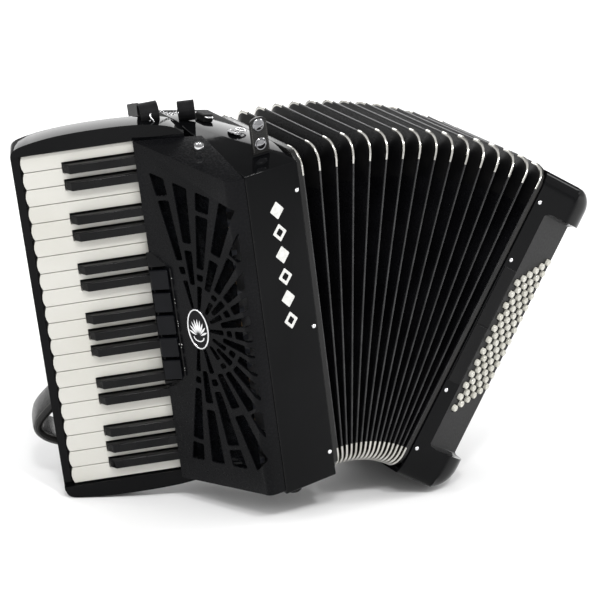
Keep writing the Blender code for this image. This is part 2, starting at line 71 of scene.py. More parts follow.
STRIP, BOARD_TURN, BOARD_WIDTH, BOARD_LOW, BOARD_HIGH = 0.024, radians(27), 0.067, 0.036, 0.311
BASS_BOTTOM, BASS_TOP = -0.003, 0.350
HORN, HORN_OUT, HORN_FRONT = 0.020, 0.021, 0.007
LOW_HORN, LOW_HORN_OUT = 0.029, 0.032
BASS_ROWS, BASS_COLUMNS, BUTTON_PITCH, BUTTON_ROW = 6, 12, 0.0134, 0.0095
FIRST_BUTTON = Vector((0.0125, 0.084))
OUTER_STRAP_AT = Vector((-0.006, -0.057, 0))
OUTER_ROUTE = [(0, 0.379), (0.003, 0.335), (0.012, 0.255), (0.040, 0.172), (0.084, 0.110),
               (0.126, 0.079), (0.1475, 0.055), (0.131, 0.037), (0.092, 0.031), (0.046, 0.027),
               (0.014, 0.019), (0.001, 0.005), (0, -0.010)]
INNER_STRAP_AT = Vector((-0.040, 0.219, 0))
INNER_ROUTE = [(0, 0.362), (-0.005, 0.320), (-0.018, 0.230), (-0.038, 0.150), (-0.048, 0.098),
               (-0.040, 0.066), (-0.016, 0.048), (-0.001, 0.034), (0, 0.016)]
HAND_ROUTE = [(0.0930, 0.3075), (0.104, 0.294), (0.114, 0.250), (0.118, 0.174), (0.114, 0.098),
              (0.104, 0.054), (0.0930, 0.0395)]
CLIP_AT = Vector((-0.023, 0.030, 0.3610))
CLIP_HEIGHT = 0.038
AIR_AT = Vector((0.0, 0.062, 0.292))

# The axis that all pleats turn about lies below them
APEX_DROP = PLEATS * PLEAT_THICK / FAN
APEX = Vector((BELLOWS_START, 0, BELLOWS_BOTTOM - APEX_DROP))

TREBLE = Matrix.Translation(STANCE) @ Matrix.Rotation(-LEAN, 4, "Y")
KEYBOARD_LENGTH = KEY_PITCH * WHITE_KEYS
KEYBOARD = TREBLE @ Matrix.Translation(KEYS_AT) @ Matrix.Rotation(pi - KEYBOARD_TURN, 4, "Z")
# How a flat outline faces: FRONT stands it up in X and Z, PLAN lays it down in X and Y
FRONT = Matrix(((1, 0, 0, 0), (0, 0, -1, 0), (0, 1, 0, 0), (0, 0, 0, 1)))
PLAN = Matrix.Identity(4)


def fan(share):
    """The frame of the pleat plane that lies a share of the way along the open bellows."""
    return (TREBLE @ Matrix.Translation(APEX) @ Matrix.Rotation(FAN * share, 4, "Y")
            @ Matrix.Translation((0, 0, APEX_DROP)))


BASS = fan(1)


def keyboard_point(along, out):
    """A point of the keyboard frame in the treble frame's X and Y."""
    return Vector((KEYS_AT.x - along * cos(KEYBOARD_TURN) - out * sin(KEYBOARD_TURN),
                   KEYS_AT.y + along * sin(KEYBOARD_TURN) - out * cos(KEYBOARD_TURN)))


def board_point(across, out=0.0):
    """A point of the button board's slope in the bass frame's X and Y."""
    return (STRIP + across * cos(BOARD_TURN) + out * sin(BOARD_TURN),
            across * sin(BOARD_TURN) - out * cos(BOARD_TURN))


# ---------------------------------------------------------------- materials

def add_node(tree, kind, **values):
    """A new node. Each value is for an input, with _ for a space in its name, or else for a setting."""
    made = tree.nodes.new(kind)
    for key, value in values.items():
        name = key.replace("_", " ")
        if name in made.inputs:
            made.inputs[name].default_value = value
        else:
            setattr(made, key, value)
    return made


def noise_node(tree, scale, detail, stretch=(1, 1, 1)):
    """Object-space noise, stretched along an axis where a stretch value is under 1."""
    place = add_node(tree, "ShaderNodeTexCoord")
    mapping = add_node(tree, "ShaderNodeMapping", Scale=stretch)
    made = add_node(tree, "ShaderNodeTexNoise", Scale=scale, Detail=detail)
    tree.links.new(place.outputs["Object"], mapping.inputs["Vector"])
    tree.links.new(mapping.outputs["Vector"], made.inputs["Vector"])
    return made.outputs["Fac"]


def spread(tree, fac, low, high, from_low=0.35, from_high=0.65):
    """Maps a noise's middle range onto low to high."""
    made = add_node(tree, "ShaderNodeMapRange", From_Min=from_low, From_Max=from_high, To_Min=low,
                    To_Max=high)
    tree.links.new(fac, made.inputs["Value"])
    return made.outputs["Result"]


def mix_colour(tree, fac, first, second):
    """A colour between two, by a value from 0 to 1."""
    made = add_node(tree, "ShaderNodeMix", data_type="RGBA")
    for socket, colour in zip([s for s in made.inputs if s.type == "RGBA"], (first, second)):
        socket.default_value = (*colour, 1)
    tree.links.new(fac, made.inputs["Factor"])
    return [s for s in made.outputs if s.type == "RGBA"][0]


def relief(tree, pattern, scale, stretch):
    """The height of a fine pattern: noise, leather's cells, or a weave of two sets of waves."""
    if pattern == "NOISE":
        return noise_node(tree, scale, 2.0, stretch)
    place = add_node(tree, "ShaderNodeTexCoord").outputs["Object"]
    if pattern == "LEATHER":
        cells = add_node(tree, "ShaderNodeTexVoronoi", Scale=scale)
        tree.links.new(place, cells.inputs["Vector"])
        return cells.outputs["Distance"]
    product = add_node(tree, "ShaderNodeMath", operation="MULTIPLY")
    for socket, direction in zip(product.inputs, ("DIAGONAL", pattern)):
        wave = add_node(tree, "ShaderNodeTexWave", bands_direction=direction, Scale=scale, Distortion=0.6,
                        Detail=1.0)
        tree.links.new(place, wave.inputs["Vector"])
        tree.links.new(wave.outputs["Fac"], socket)
    return product.outputs["Value"]


COAT_ROUGHNESS, SHEEN_ROUGHNESS = 0.06, 0.5
FINE_TO_PATCH = 23


def finish(name, colour, worn, roughness, grain, metallic=0.0, patch=18, stretch=(1, 1, 1), pattern="NOISE",
           coat=0.0, specular=0.5, sheen=0.0):
    """A material whose colour and roughness vary in patches, with a fine relief of its own pattern. grain
    is the relief's scale, depth and strength."""
    scale, depth, strength = grain
    made = bpy.data.materials.new(name)
    made.use_nodes = True
    tree = made.node_tree
    shader = tree.nodes["Principled BSDF"]
    patches = spread(tree, noise_node(tree, patch, 4.0, stretch), 0, 1, 0.40, 0.68)
    tree.links.new(mix_colour(tree, patches, colour, worn), shader.inputs["Base Color"])
    fine = noise_node(tree, patch * FINE_TO_PATCH, 2.0, stretch)
    tree.links.new(spread(tree, fine, *roughness), shader.inputs["Roughness"])
    for key, value in (("Metallic", metallic), ("Specular IOR Level", specular), ("Coat Weight", coat),
                       ("Coat Roughness", COAT_ROUGHNESS), ("Sheen Weight", sheen),
                       ("Sheen Roughness", SHEEN_ROUGHNESS)):
        shader.inputs[key].default_value = value
    bump = add_node(tree, "ShaderNodeBump", Strength=strength, Distance=depth)
    tree.links.new(relief(tree, pattern, scale, stretch), bump.inputs["Height"])
    tree.links.new(bump.outputs["Normal"], shader.inputs["Normal"])
    return made


LACQUER = finish("gloss black lacquer", (0.0016, 0.0017, 0.0020), (0.0028, 0.0029, 0.0033), (0.035, 0.085),
                 grain=(70, 0.00006, 0.05), patch=9, specular=0.10)
SATIN = finish("satin dark grey grille", (0.0024, 0.0025, 0.0030), (0.0042, 0.0043, 0.0050), (0.22, 0.31),
               grain=(2600, 0.00003, 0.20), patch=14, specular=0.085)
BOARD_SATIN = finish("satin button board", (0.0038, 0.0038, 0.0041), (0.0060, 0.0060, 0.0064), (0.34, 0.43),
                     grain=(2100, 0.00004, 0.30), patch=16, specular=0.11)
IVORY = finish("ivory key plastic", (0.505, 0.497, 0.460), (0.465, 0.455, 0.412), (0.15, 0.24),
               grain=(160, 0.00004, 0.06), patch=11, stretch=(0.3, 1, 1), coat=0.2)
EBONY = finish("black key plastic", (0.0022, 0.0022, 0.0025), (0.0045, 0.0045, 0.0048), (0.08, 0.17),
               grain=(900, 0.00002, 0.08), patch=30, specular=0.14)
ROCKER = finish("polished rocker", (0.0016, 0.0018, 0.0026), (0.0030, 0.0033, 0.0046), (0.05, 0.10),
                grain=(300, 0.00005, 0.06), patch=60, specular=0.13)
CHROME = finish("chrome plate", (0.80, 0.80, 0.81), (0.68, 0.68, 0.69), (0.05, 0.13),
                grain=(500, 0.00001, 0.08), metallic=1.0, patch=80)
NICKEL = finish("nickel corner protectors", (0.58, 0.57, 0.54), (0.44, 0.43, 0.40), (0.10, 0.20),
                grain=(500, 0.00001, 0.08), metallic=1.0, patch=60)
DARK_CHROME = finish("dark nickel", (0.30, 0.30, 0.31), (0.20, 0.20, 0.21), (0.08, 0.16),
                     grain=(500, 0.00001, 0.08), metallic=1.0, patch=80)
STEEL = finish("brushed steel", (0.50, 0.51, 0.53), (0.36, 0.37, 0.39), (0.24, 0.38),
               grain=(1500, 0.00002, 0.3), metallic=1.0, patch=60, stretch=(1, 1, 0.06))
CLOTH = finish("bellows cloth", (0.0016, 0.0016, 0.0020), (0.0034, 0.0034, 0.0040), (0.26, 0.40),
               grain=(1100, 0.00008, 0.35), patch=22, pattern="Z", specular=0.12)
TAPE = finish("bellows tape", (0.0025, 0.0025, 0.0030), (0.0050, 0.0050, 0.0056), (0.16, 0.28),
              grain=(700, 0.00005, 0.2), patch=45, pattern="Z", specular=0.2)
# The tape along each ridge's nose is a lighter grey: a painted highlight where the rounded edge catches the
# light.
TAPE_NOSE_HIGHLIGHT = finish("bellows tape's painted highlight", (0.016, 0.016, 0.0165), (0.034, 0.034, 0.035), (0.18, 0.30),
                   grain=(700, 0.00004, 0.2), patch=70, specular=0.3)
GUSSET = finish("gusset leather", (0.0019, 0.0019, 0.0022), (0.0038, 0.0037, 0.0038), (0.32, 0.46),
                grain=(1100, 0.00010, 0.45), patch=50, pattern="LEATHER", specular=0.12)
LEATHER = finish("black leather", (0.0070, 0.0069, 0.0067), (0.0140, 0.0132, 0.0122), (0.24, 0.40),
                 grain=(900, 0.00012, 0.5), patch=40, pattern="LEATHER", specular=0.25)
PAD = finish("strap pad leather", (0.0060, 0.0060, 0.0065), (0.012, 0.0115, 0.011), (0.24, 0.38),
             grain=(700, 0.00014, 0.5), patch=26, pattern="LEATHER", specular=0.3)
WEBBING = finish("woven webbing", (0.0040, 0.0040, 0.0045), (0.0090, 0.0090, 0.0100), (0.55, 0.75),
                 grain=(420, 0.0003, 0.8), patch=60, pattern="X", specular=0.15)
THREAD = finish("grey stitching", (0.075, 0.073, 0.070), (0.12, 0.118, 0.11), (0.5, 0.7),
                grain=(3000, 0.00005, 0.5), patch=200)
RUBBER = finish("black rubber", (0.006, 0.006, 0.006), (0.012, 0.012, 0.012), (0.5, 0.7),
                grain=(1400, 0.00006, 0.4), patch=60, specular=0.1)
CREAM = finish("bass button plastic", (0.52, 0.51, 0.46), (0.45, 0.44, 0.385), (0.18, 0.30),
               grain=(500, 0.00003, 0.1), patch=40, coat=0.15)
WOOD = finish("planed spruce", (0.56, 0.38, 0.21), (0.42, 0.26, 0.13), (0.42, 0.58),
              grain=(260, 0.0002, 0.4), patch=9, stretch=(1, 1, 0.06))
STAINED = finish("black stained wood", (0.010, 0.010, 0.010), (0.020, 0.019, 0.018), (0.16, 0.28),
                 grain=(300, 0.0001, 0.2), patch=12, stretch=(1, 1, 0.08), specular=0.25)
FELT = finish("dark blue felt", (0.010, 0.012, 0.018), (0.020, 0.023, 0.032), (0.8, 0.95),
              grain=(1800, 0.0003, 0.8), patch=90, sheen=0.3)
ENAMEL = finish("black enamel", (0.004, 0.004, 0.005), (0.008, 0.008, 0.009), (0.08, 0.14),
                grain=(800, 0.00002, 0.1), patch=60, specular=0.1)
WHITE_INK = finish("white ink", (0.62, 0.62, 0.60), (0.50, 0.50, 0.48), (0.35, 0.5),
                   grain=(2000, 0.00002, 0.2), patch=200)
GAUZE = finish("grille gauze", (0.0006, 0.0007, 0.0010), (0.0012, 0.0014, 0.0020), (0.5, 0.7),
               grain=(1500, 0.0002, 0.5), patch=40, pattern="X", specular=0.02)
# The levers behind the gauze show faintly through it
GAUZE.node_tree.nodes["Principled BSDF"].inputs["Alpha"].default_value = 0.82


# ---------------------------------------------------------------- mesh helpers

SHARP_FROM = 34


def new_mesh(name, form, angle=SHARP_FROM):
    """Turns a bmesh into a mesh, smooth but for edges over an angle in degrees."""
    mesh = bpy.data.meshes.new(name)
    bmesh.ops.recalc_face_normals(form, faces=form.faces)
    form.to_mesh(mesh)
    form.free()
    mesh.shade_smooth()
    mesh.set_sharp_from_angle(angle=radians(angle))
    return mesh


def add(name, mesh, at, look, body, stands_for=(), rounding=0.0, segments=3, edge=30):
    """Shows a mesh as a piece in a frame, riding on a body, with its edges rounded."""
    piece = bpy.data.objects.new(name, mesh)
    bpy.context.scene.collection.objects.link(piece)
    piece.matrix_world = at
    if look:
        mesh.materials.clear()
        mesh.materials.append(look)
    if rounding:
        step = piece.modifiers.new("rounded edges", "BEVEL")
        step.width = rounding
        step.segments = segments
        step.limit_method = "ANGLE"
        step.angle_limit = radians(edge)
        step.harden_normals = True
    if body:
        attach(piece, body)
    if stands_for:
        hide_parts(*stands_for)
    return piece


def refined(node, look, body, rounding, segments=3, edge=30, name=None):
    """A CAD node's own shape with its flat faces merged and its edges rounded."""
    form = bmesh.new()
    form.from_mesh(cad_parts[node].data)
    bmesh.ops.remove_doubles(form, verts=form.verts, dist=0.000001)
    bmesh.ops.dissolve_limit(form, angle_limit=radians(1), verts=form.verts, edges=form.edges)
    mesh = new_mesh(name or node + "_shown", form)
    return add(mesh.name, mesh, PLAN, look, body, (node,), rounding, segments, edge)


def block(name, low, high):
    """A box between two corners."""
    low, high = Vector(low), Vector(high)
    form = bmesh.new()
    bmesh.ops.create_cube(form, size=1, matrix=Matrix.Translation((low + high) / 2)
                          @ Matrix.Diagonal((*(high - low), 1)))
    return new_mesh(name, form)


def turned(name, profile, sides=24, matrix=PLAN, form=None):
    """A profile of radius and height pairs, turned about Z. With a form, it's added there instead."""
    own = form is None
    form = form or bmesh.new()
    rings = []
    for radius, height in profile:
        if radius < 1e-7:
            rings.append([form.verts.new(matrix @ Vector((0, 0, height)))])
        else:
            rings.append([form.verts.new(matrix @ Vector((*p, height))) for p in oval(radius, radius, sides)])
    for low, high in zip(rings, rings[1:]):
        for n in range(sides):
            m = (n + 1) % sides
            if len(low) == 1:
                form.faces.new((low[0], high[n], high[m]))
            elif len(high) == 1:
                form.faces.new((low[n], low[m], high[0]))
            else:
                form.faces.new((low[n], low[m], high[m], high[n]))
    return new_mesh(name, form) if own else None


def slab(name, outlines, low, high, facing=PLAN):
    """Flat outlines made low to high thick, where an outline inside another is a hole."""
    curve = bpy.data.curves.new(name, "CURVE")
    curve.dimensions = "2D"
    curve.fill_mode = "BOTH"
    curve.extrude = (high - low) / 2
    for outline in outlines:
        spline = curve.splines.new("POLY")
        spline.points.add(len(outline) - 1)
        for point, (u, v) in zip(spline.points, outline):
            point.co = (u, v, 0, 1)
        spline.use_cyclic_u = True
    holder = bpy.data.objects.new(name, curve)
    bpy.context.scene.collection.objects.link(holder)
    seen = bpy.context.evaluated_depsgraph_get()
    mesh = bpy.data.meshes.new_from_object(holder.evaluated_get(seen))
    bpy.data.objects.remove(holder, do_unlink=True)
    form = bmesh.new()
    form.from_mesh(mesh)
    bmesh.ops.remove_doubles(form, verts=form.verts, dist=0.000005)
    bmesh.ops.transform(form, matrix=facing @ Matrix.Translation((0, 0, (low + high) / 2)), verts=form.verts)
    return new_mesh(name, form)


def shaved(mesh, *planes):
    """A closed mesh cut by planes, each a point and the normal of the side that goes."""
    form = bmesh.new()
    form.from_mesh(mesh)
    for point, normal in planes:
        everything = form.verts[:] + form.edges[:] + form.faces[:]
        done = bmesh.ops.bisect_plane(form, geom=everything, dist=1e-7, plane_co=point, plane_no=normal,
                                      clear_outer=True)
        edges = [e for e in done["geom_cut"] if isinstance(e, bmesh.types.BMEdge)]
        bmesh.ops.contextual_create(form, geom=edges)
    bmesh.ops.recalc_face_normals(form, faces=form.faces)
    form.to_mesh(mesh)
    form.free()
    return mesh


def carved(mesh, *tools, rounding=0.0, segments=4, edge=30):
    """A mesh, rounded first, less some others, as one mesh."""
    base = bpy.data.objects.new("carved", mesh)
    bpy.context.scene.collection.objects.link(base)
    if rounding:
        step = base.modifiers.new("round", "BEVEL")
        step.width, step.segments = rounding, segments
        step.limit_method, step.angle_limit = "ANGLE", radians(edge)
    holders = []
    for tool in tools:
        holder = bpy.data.objects.new("tool", tool)
        bpy.context.scene.collection.objects.link(holder)
        step = base.modifiers.new("cut", "BOOLEAN")
        step.object, step.operation, step.solver = holder, "DIFFERENCE", "EXACT"
        holders.append(holder)
    seen = bpy.context.evaluated_depsgraph_get()
    made = bpy.data.meshes.new_from_object(base.evaluated_get(seen))
    for thing in [base] + holders:
        bpy.data.objects.remove(thing, do_unlink=True)
    made.shade_smooth()
    made.set_sharp_from_angle(angle=radians(SHARP_FROM))
    made.name = mesh.name
    return made


def smooth_route(points, steps=6):
    """Points along a smooth curve through the ones given."""
    line = [Vector(p) for p in points]
    ends = [line[0] * 2 - line[1]] + line + [line[-1] * 2 - line[-2]]
    made = []
    for a, b, c, d in zip(ends, ends[1:], ends[2:], ends[3:]):
        for n in range(steps):
            t = n / steps
            made.append(0.5 * (2 * b + (c - a) * t + (2 * a - 5 * b + 4 * c - d) * t * t
                               + (3 * b - a - 3 * c + d) * t ** 3))
    return made + [line[-1]]


def route_frames(route):
    """For each point of a flat route in X and Z: the point, the run's direction and its normal."""
    line = [Vector((p[0], 0, p[1])) for p in route]
    for n, point in enumerate(line):
        run = (line[min(n + 1, len(line) - 1)] - line[max(n - 1, 0)]).normalized()
        yield point, run, Vector((-run.z, 0, run.x))


def join_rings(form, rings, around=False):
    """Faces between rings of vertices, which have flat ends or go all the way around."""
    for low, high in list(zip(rings, rings[1:])) + ([(rings[-1], rings[0])] if around else []):
        for i in range(len(low)):
            j = (i + 1) % len(low)
            form.faces.new((low[i], low[j], high[j], high[i]))
    if not around:
        form.faces.new(rings[0][::-1])
        form.faces.new(rings[-1])


SHARP_WHEN_ROUND = 60


def strip(name, route, section):
    """Sweeps a closed section along a flat route. section(share) gives pairs of width and height."""
    form = bmesh.new()
    last = len(route) - 1
    join_rings(form, [[form.verts.new(point + Vector((0, w, 0)) + normal * h) for w, h in section(n / last)]
                      for n, (point, _, normal) in enumerate(route_frames(route))])
    return new_mesh(name, form, SHARP_WHEN_ROUND)


def tube(name, points, radius, sides=8, closed=False, form=None):
    """A round tube along points. With a form, it's added there instead."""
    own = form is None
    form = form or bmesh.new()
    line = [Vector(p) for p in points]
    count = len(line)
    rings = []
    up = Vector((0.13, 0.21, 1)).normalized()
    for n, point in enumerate(line):
        ahead = line[(n + 1) % count] if closed else line[min(n + 1, count - 1)]
        behind = line[n - 1] if closed else line[max(n - 1, 0)]
        run = (ahead - behind).normalized()
        across = run.cross(up).normalized()
        up = across.cross(run).normalized()
        rings.append([form.verts.new(point + (across * p.x + up * p.y) * radius) for p in oval(1, 1, sides)])
    join_rings(form, rings, closed)
    return new_mesh(name, form, SHARP_WHEN_ROUND) if own else None


def oval(a, b, count, middle=(0, 0)):
    """Points around an ellipse."""
    turns = [2 * pi * n / count for n in range(count)]
    return [Vector((middle[0] + a * cos(turn), middle[1] + b * sin(turn))) for turn in turns]


def rounded(u0, v0, u1, v1, radius, steps):
    """Points around a rectangle with round corners."""
    corners = ((u1 - radius, v1 - radius, 0), (u0 + radius, v1 - radius, 1),
               (u0 + radius, v0 + radius, 2), (u1 - radius, v0 + radius, 3))
    return [(u + radius * cos(pi / 2 * (turn + i / steps)), v + radius * sin(pi / 2 * (turn + i / steps)))
            for u, v, turn in corners for i in range(steps + 1)]


def toward(direction):
    """A turn that points Z along a direction."""
    return Vector(direction).to_track_quat("Z", "Y").to_matrix().to_4x4()


# A pin's domed head, as radius and height
DOME = [(0, -0.001), (0.0024, -0.001), (0.0024, 0.0004), (0.0021, 0.0010), (0.0013, 0.0015), (0, 0.0017)]


def pins(name, places, at, direction, body, profile=DOME, look=None):
    """Small turned heads as one piece, all facing one way."""
    form = bmesh.new()
    for place in places:
        turned(name, profile, 20, Matrix.Translation(place) @ toward(direction), form)
    return add(name, new_mesh(name, form), at, look or CHROME, body)


# ---------------------------------------------------------------- treble side

CASING_WALL = 0.005


def casing():
    """The treble casing, hollow, with its pins, feet and seam."""
    outline = [(-CASING_WIDTH, CASING_BOTTOM), (0, CASING_BOTTOM + 0.002), (0, CASING_TOP),
               (-CASING_WIDTH, CASING_SHOULDER)]
    mesh = shaved(slab("treble_casing_shell", [outline], -CASING_DEPTH, 0, FRONT),
                  (Vector((0, 0, PANEL_TOP)), Vector((0, -TOP_RISE, 1))))
    hollow = block("casing_hollow", (-CASING_WIDTH + CASING_WALL, CASING_WALL, 0.014),
                   (0.01, CASING_DEPTH - CASING_WALL, 0.350))
    mesh = carved(mesh, hollow, rounding=0.0026, segments=4)
    add("treble_casing_shell", mesh, TREBLE, LACQUER, TREBLE_BODY, ("treble_casing",))
    pins("casing_pins", [(-0.0045, 0, z) for z in (0.324, 0.176, 0.034)], TREBLE, (0, -1, 0), TREBLE_BODY)
    pins("casing_back_pins", [(x, CASING_DEPTH, z) for z in (0.34, 0.18, 0.03) for x in (-0.0045, -0.054)],
         TREBLE, (0, 1, 0), TREBLE_BODY)
    foot = [(0, -0.008), (0.0068, -0.008), (0.0078, -0.0070), (0.0080, -0.002), (0.0092, 0.002),
            (0.0092, 0.0045), (0, 0.0045)]
    pins("casing_feet", [(-0.038, y, 0) for y in (0.025, 0.160)], TREBLE, (0, 0, 1), TREBLE_BODY, foot,
         RUBBER)
    groove = block("casing_seam_bead", (-CASING_WIDTH - 0.00005, -0.0006, CASING_BOTTOM + 0.004),
                   (-CASING_WIDTH + 0.0011, 0.0004, PANEL_TOP - 0.004))
    add("casing_seam_bead", groove, TREBLE, EBONY, TREBLE_BODY, rounding=0.0003, segments=2)


def inlays():
    """A plain row of lozenges on the front panel, solid and open in turn."""
    half_width, half_height, pitch = 0.0078, 0.0096, 0.0238
    first = Vector((-0.0293, 0.3095))
    form = bmesh.new()
    for n in range(6):
        middle = first - Vector((0, pitch * n))
        rings = [oval(half_width * size, half_height * size, 4, middle)
                 for size in ((1.0, 0.52) if n % 2 else (1.0,))]
        form.from_mesh(slab("inlay", [eased(ring, 0.0009) for ring in rings], -0.0002, 0.00025, FRONT))
    add("panel_inlays", new_mesh("panel_inlays", form), TREBLE, WHITE_INK, TREBLE_BODY)


SHOULDER_SLOPE = (CASING_SHOULDER - CASING_TOP) / CASING_WIDTH


def top_height(x, y):
    """The casing's top at a place, in the treble frame. It rises from the front to a sloping shoulder."""
    return min(PANEL_TOP + TOP_RISE * y, CASING_TOP - SHOULDER_SLOPE * x)


def top_frame(x, y):
    """A frame on the casing's top, with Z out of it."""
    rising = PANEL_TOP + TOP_RISE * y <= CASING_TOP - SHOULDER_SLOPE * x
    normal = (0, -TOP_RISE, 1) if rising else (SHOULDER_SLOPE, 0, 1)
    return TREBLE @ Matrix.Translation((x, y, top_height(x, y))) @ toward(normal)


def strap_plate():
    """A half-round plate on the casing's top, with two rivets and a ring."""
    at = top_frame(-0.0200, 0.084)
    thick = 0.0014
    rivets = [(x, 0.0035) for x in (-0.0060, 0.0060)]
    half = [(0.0105 * cos(pi * n / 14), 0.0095 * sin(pi * n / 14)) for n in range(15)]
    holes = [oval(0.0012, 0.0012, 10, rivet) for rivet in rivets]
    add("strap_plate", slab("strap_plate", [half] + holes, 0, thick), at, DARK_CHROME, TREBLE_BODY,
        rounding=0.0003, segments=2)
    pins("strap_plate_rivets", [(*rivet, thick) for rivet in rivets], at, (0, 0, 1), TREBLE_BODY,
         [(0, -0.0008), (0.0017, -0.0008), (0.0017, 0.0002), (0.0011, 0.0007), (0, 0.0009)])
    ring = [(*p, 0.0032) for p in oval(0.0065, 0.0045, 28, (0, -0.004))]
    add("strap_plate_ring", tube("strap_plate_ring", ring, 0.0009, closed=True), at, CHROME, TREBLE_BODY)


def clip_strap():
    """The leather strap that holds the bellows shut, round at its end, with two snaps."""
    at = TREBLE @ Matrix.Translation(CLIP_AT)
    half_width, half_thick, shoulder = 0.0094, 0.0013, CLIP_HEIGHT - 0.006
    outline = [(-half_width, 0.0003), (half_width, 0.0003), (half_width, shoulder)]
    outline += [(half_width * cos(pi * n / 10), shoulder + 0.0055 * sin(pi * n / 10)) for n in range(1, 10)]
    outline += [(-half_width, shoulder)]
    mesh = slab("clip_strap_leather", [outline], -half_thick, half_thick, FRONT)
    add("clip_strap_leather", mesh, at, LEATHER, "clip_strap", ("bellows_clip_strap",),
        0.0006, 3)
    form = bmesh.new()
    snap = [(0, -0.0005), (0.0062, -0.0005), (0.0066, 0.0004), (0.0058, 0.0010), (0.0049, 0.0007),
            (0.0036, 0.0012), (0.0016, 0.0021), (0, 0.0023)]
    for z in (0.0095, 0.0295):
        turned("snap", snap, 28, Matrix.Translation((0, -half_thick, z)) @ toward((0, -1, 0)), form)
    add("clip_strap_snaps", new_mesh("clip_strap_snaps", form), at, DARK_CHROME, "clip_strap")
    places = [(side * (half_width - 0.0013), -0.0014, n * 0.0022 + 0.003)
              for side in (-1, 1) for n in range(14)]
    stitches("clip_strap_stitches", places, (0, 0, 1), 0.0013, 0.00022, at, "clip_strap")


def seam(route, short, aside, above):
    """Where stitches go along both edges and both faces of a strap, and which way they run. A number of
    route points is left out at each end."""
    spots = [(point + Vector((0, side * aside, 0)) + normal * face * above, run)
             for point, run, normal in list(route_frames(route))[short:-short]
             for side in (-1, 1) for face in (-1, 1)]
    return [place for place, _ in spots], [run for _, run in spots]


def stitches(name, places, direction, length, radius, at, body):
    """Short thread capsules. direction is one for all, or one for each."""
    form = bmesh.new()
    many = isinstance(direction, list)
    for n, place in enumerate(places):
        run = Vector(direction[n] if many else direction).normalized() * length / 2
        middle = Vector(place)
        tube(name, [middle - run, middle - run * 0.5, middle + run * 0.5, middle + run], radius, 5, form=form)
    return add(name, new_mesh(name, form), at, THREAD, body)


def keyboard():
    """The keys and their bed, with the boards that close it under the keys and at its upper end."""
    keyboard_shell()
    for n in range(1, WHITE_KEYS + 1):
        name = f"white_key_{n:02d}"
        refined(name, IVORY, name + "_body", 0.00075, 3)
    for n in range(1, len(BLACK_AFTER) + 1):
        name = f"black_key_{n:02d}"
        refined(name, EBONY, name + "_body", 0.0011, 3)
    felt = block("key_felt", (-0.030, -0.0143, 0.001), (0.100, -0.0137, KEYBOARD_LENGTH - 0.001))
    add("key_felt", felt, KEYBOARD, FELT, TREBLE_BODY)
    top = KEYBOARD_LENGTH
    for name, low, high in (("key_tail_ledge", (0.0018, top - 0.0030), (0.0042, top + 0.0009)),
                            ("key_tail_shield", (-0.0140, top + 0.0003), (0.0038, top + 0.0009))):
        board = block(name, (-0.0520, *low), (-0.0010, *high))
        add(name, board, KEYBOARD, SATIN, TREBLE_BODY)
    levers()


def keyboard_shell():
    """The keyboard's bed with its arched end cheeks, its outer lip and the outer strap's two lugs."""
    outer, top = 0.1227, KEYBOARD_LENGTH
    upper = smooth_route([(-0.052, top + 0.001), (-0.040, top + 0.010), (-0.011, top + 0.0165),
                          (0.030, top + 0.0185), (0.075, top + 0.0172), (0.108, top + 0.0122),
                          (outer - 0.0028, top + 0.0070), (outer, top)], 4)
    lower = smooth_route([(outer, -0.004), (outer - 0.0050, -0.0125), (0.100, -0.0160), (0.060, -0.0185),
                          (0.000, -0.017), (-0.040, -0.009), (-0.052, 0.0)], 4)
    base = slab("keyboard_shell", [upper + lower], -0.004, 0.024, FRONT)
    well = block("key_well", (-0.10, -0.0145, -0.001), (0.1147, 0.05, top + 0.001))
    step = block("lip_step", (0.1047, -0.002, -0.001), (0.20, 0.05, top + 0.001))
    mesh = carved(base, well, step, rounding=0.0036, segments=5, edge=40)
    add("keyboard_shell", mesh, KEYBOARD, LACQUER, TREBLE_BODY, ("keyboard_base",),
        0.0005, 2, 50)
    at = OUTER_STRAP_AT
    for name, z in (("high", OUTER_ROUTE[0][1] + 0.0012), ("low", OUTER_ROUTE[-1][1] - 0.0042)):
        lug = block("lug", (at.x - 0.006, at.y - 0.007, z), (at.x + 0.006, -0.021, z + 0.003))
        add(f"outer_lug_{name}", lug, KEYBOARD, RUBBER, TREBLE_BODY, rounding=0.0012)


LEVER_RADIUS = 0.0010
PALLET_LOW, PALLET_HIGH = Vector((-0.0010, -0.007, -0.0026)), Vector((0.0055, 0.007, 0.0026))
PALLETS_LOWEST, PALLETS_SPAN = 0.026, 0.308


def levers():
    """Each key's steel lever and felted pallet, seen through the grille's slots."""
    for index in range(WHITE_KEYS + len(BLACK_AFTER)):
        white = index < WHITE_KEYS
        if white:
            name, z = f"white_key_{index + 1:02d}", KEY_PITCH * (WHITE_KEYS - index - 0.5)
            lift, end_x, end_y, look = 0.0, -0.0733, 0.040, WOOD
        else:
            number = index - WHITE_KEYS
            name, z = f"black_key_{number + 1:02d}", KEY_PITCH * (WHITE_KEYS - BLACK_AFTER[number])
            lift, end_x, end_y, look = 0.0022, -0.0760, 0.024, FELT
        body, height = name + "_body", KEYS_AT.z + z
        fanned = PALLETS_LOWEST + PALLETS_SPAN * z / KEYBOARD_LENGTH - height
        start = keyboard_point(-0.043, -0.0052)
        end = Vector((end_x, end_y, height + fanned))
        points = [(start.x, start.y + lift, height), (-0.087, 0.086, height + fanned * 0.15),
                  (-0.094, 0.068, height + fanned * 0.4), end]
        add(name + "_lever", tube("lever", points, LEVER_RADIUS, 6), TREBLE, STEEL, body)
        pallet = block("pallet", end + PALLET_LOW, end + PALLET_HIGH)
        add(name + "_pallet", pallet, TREBLE, look, body, rounding=0.0006, segments=2)


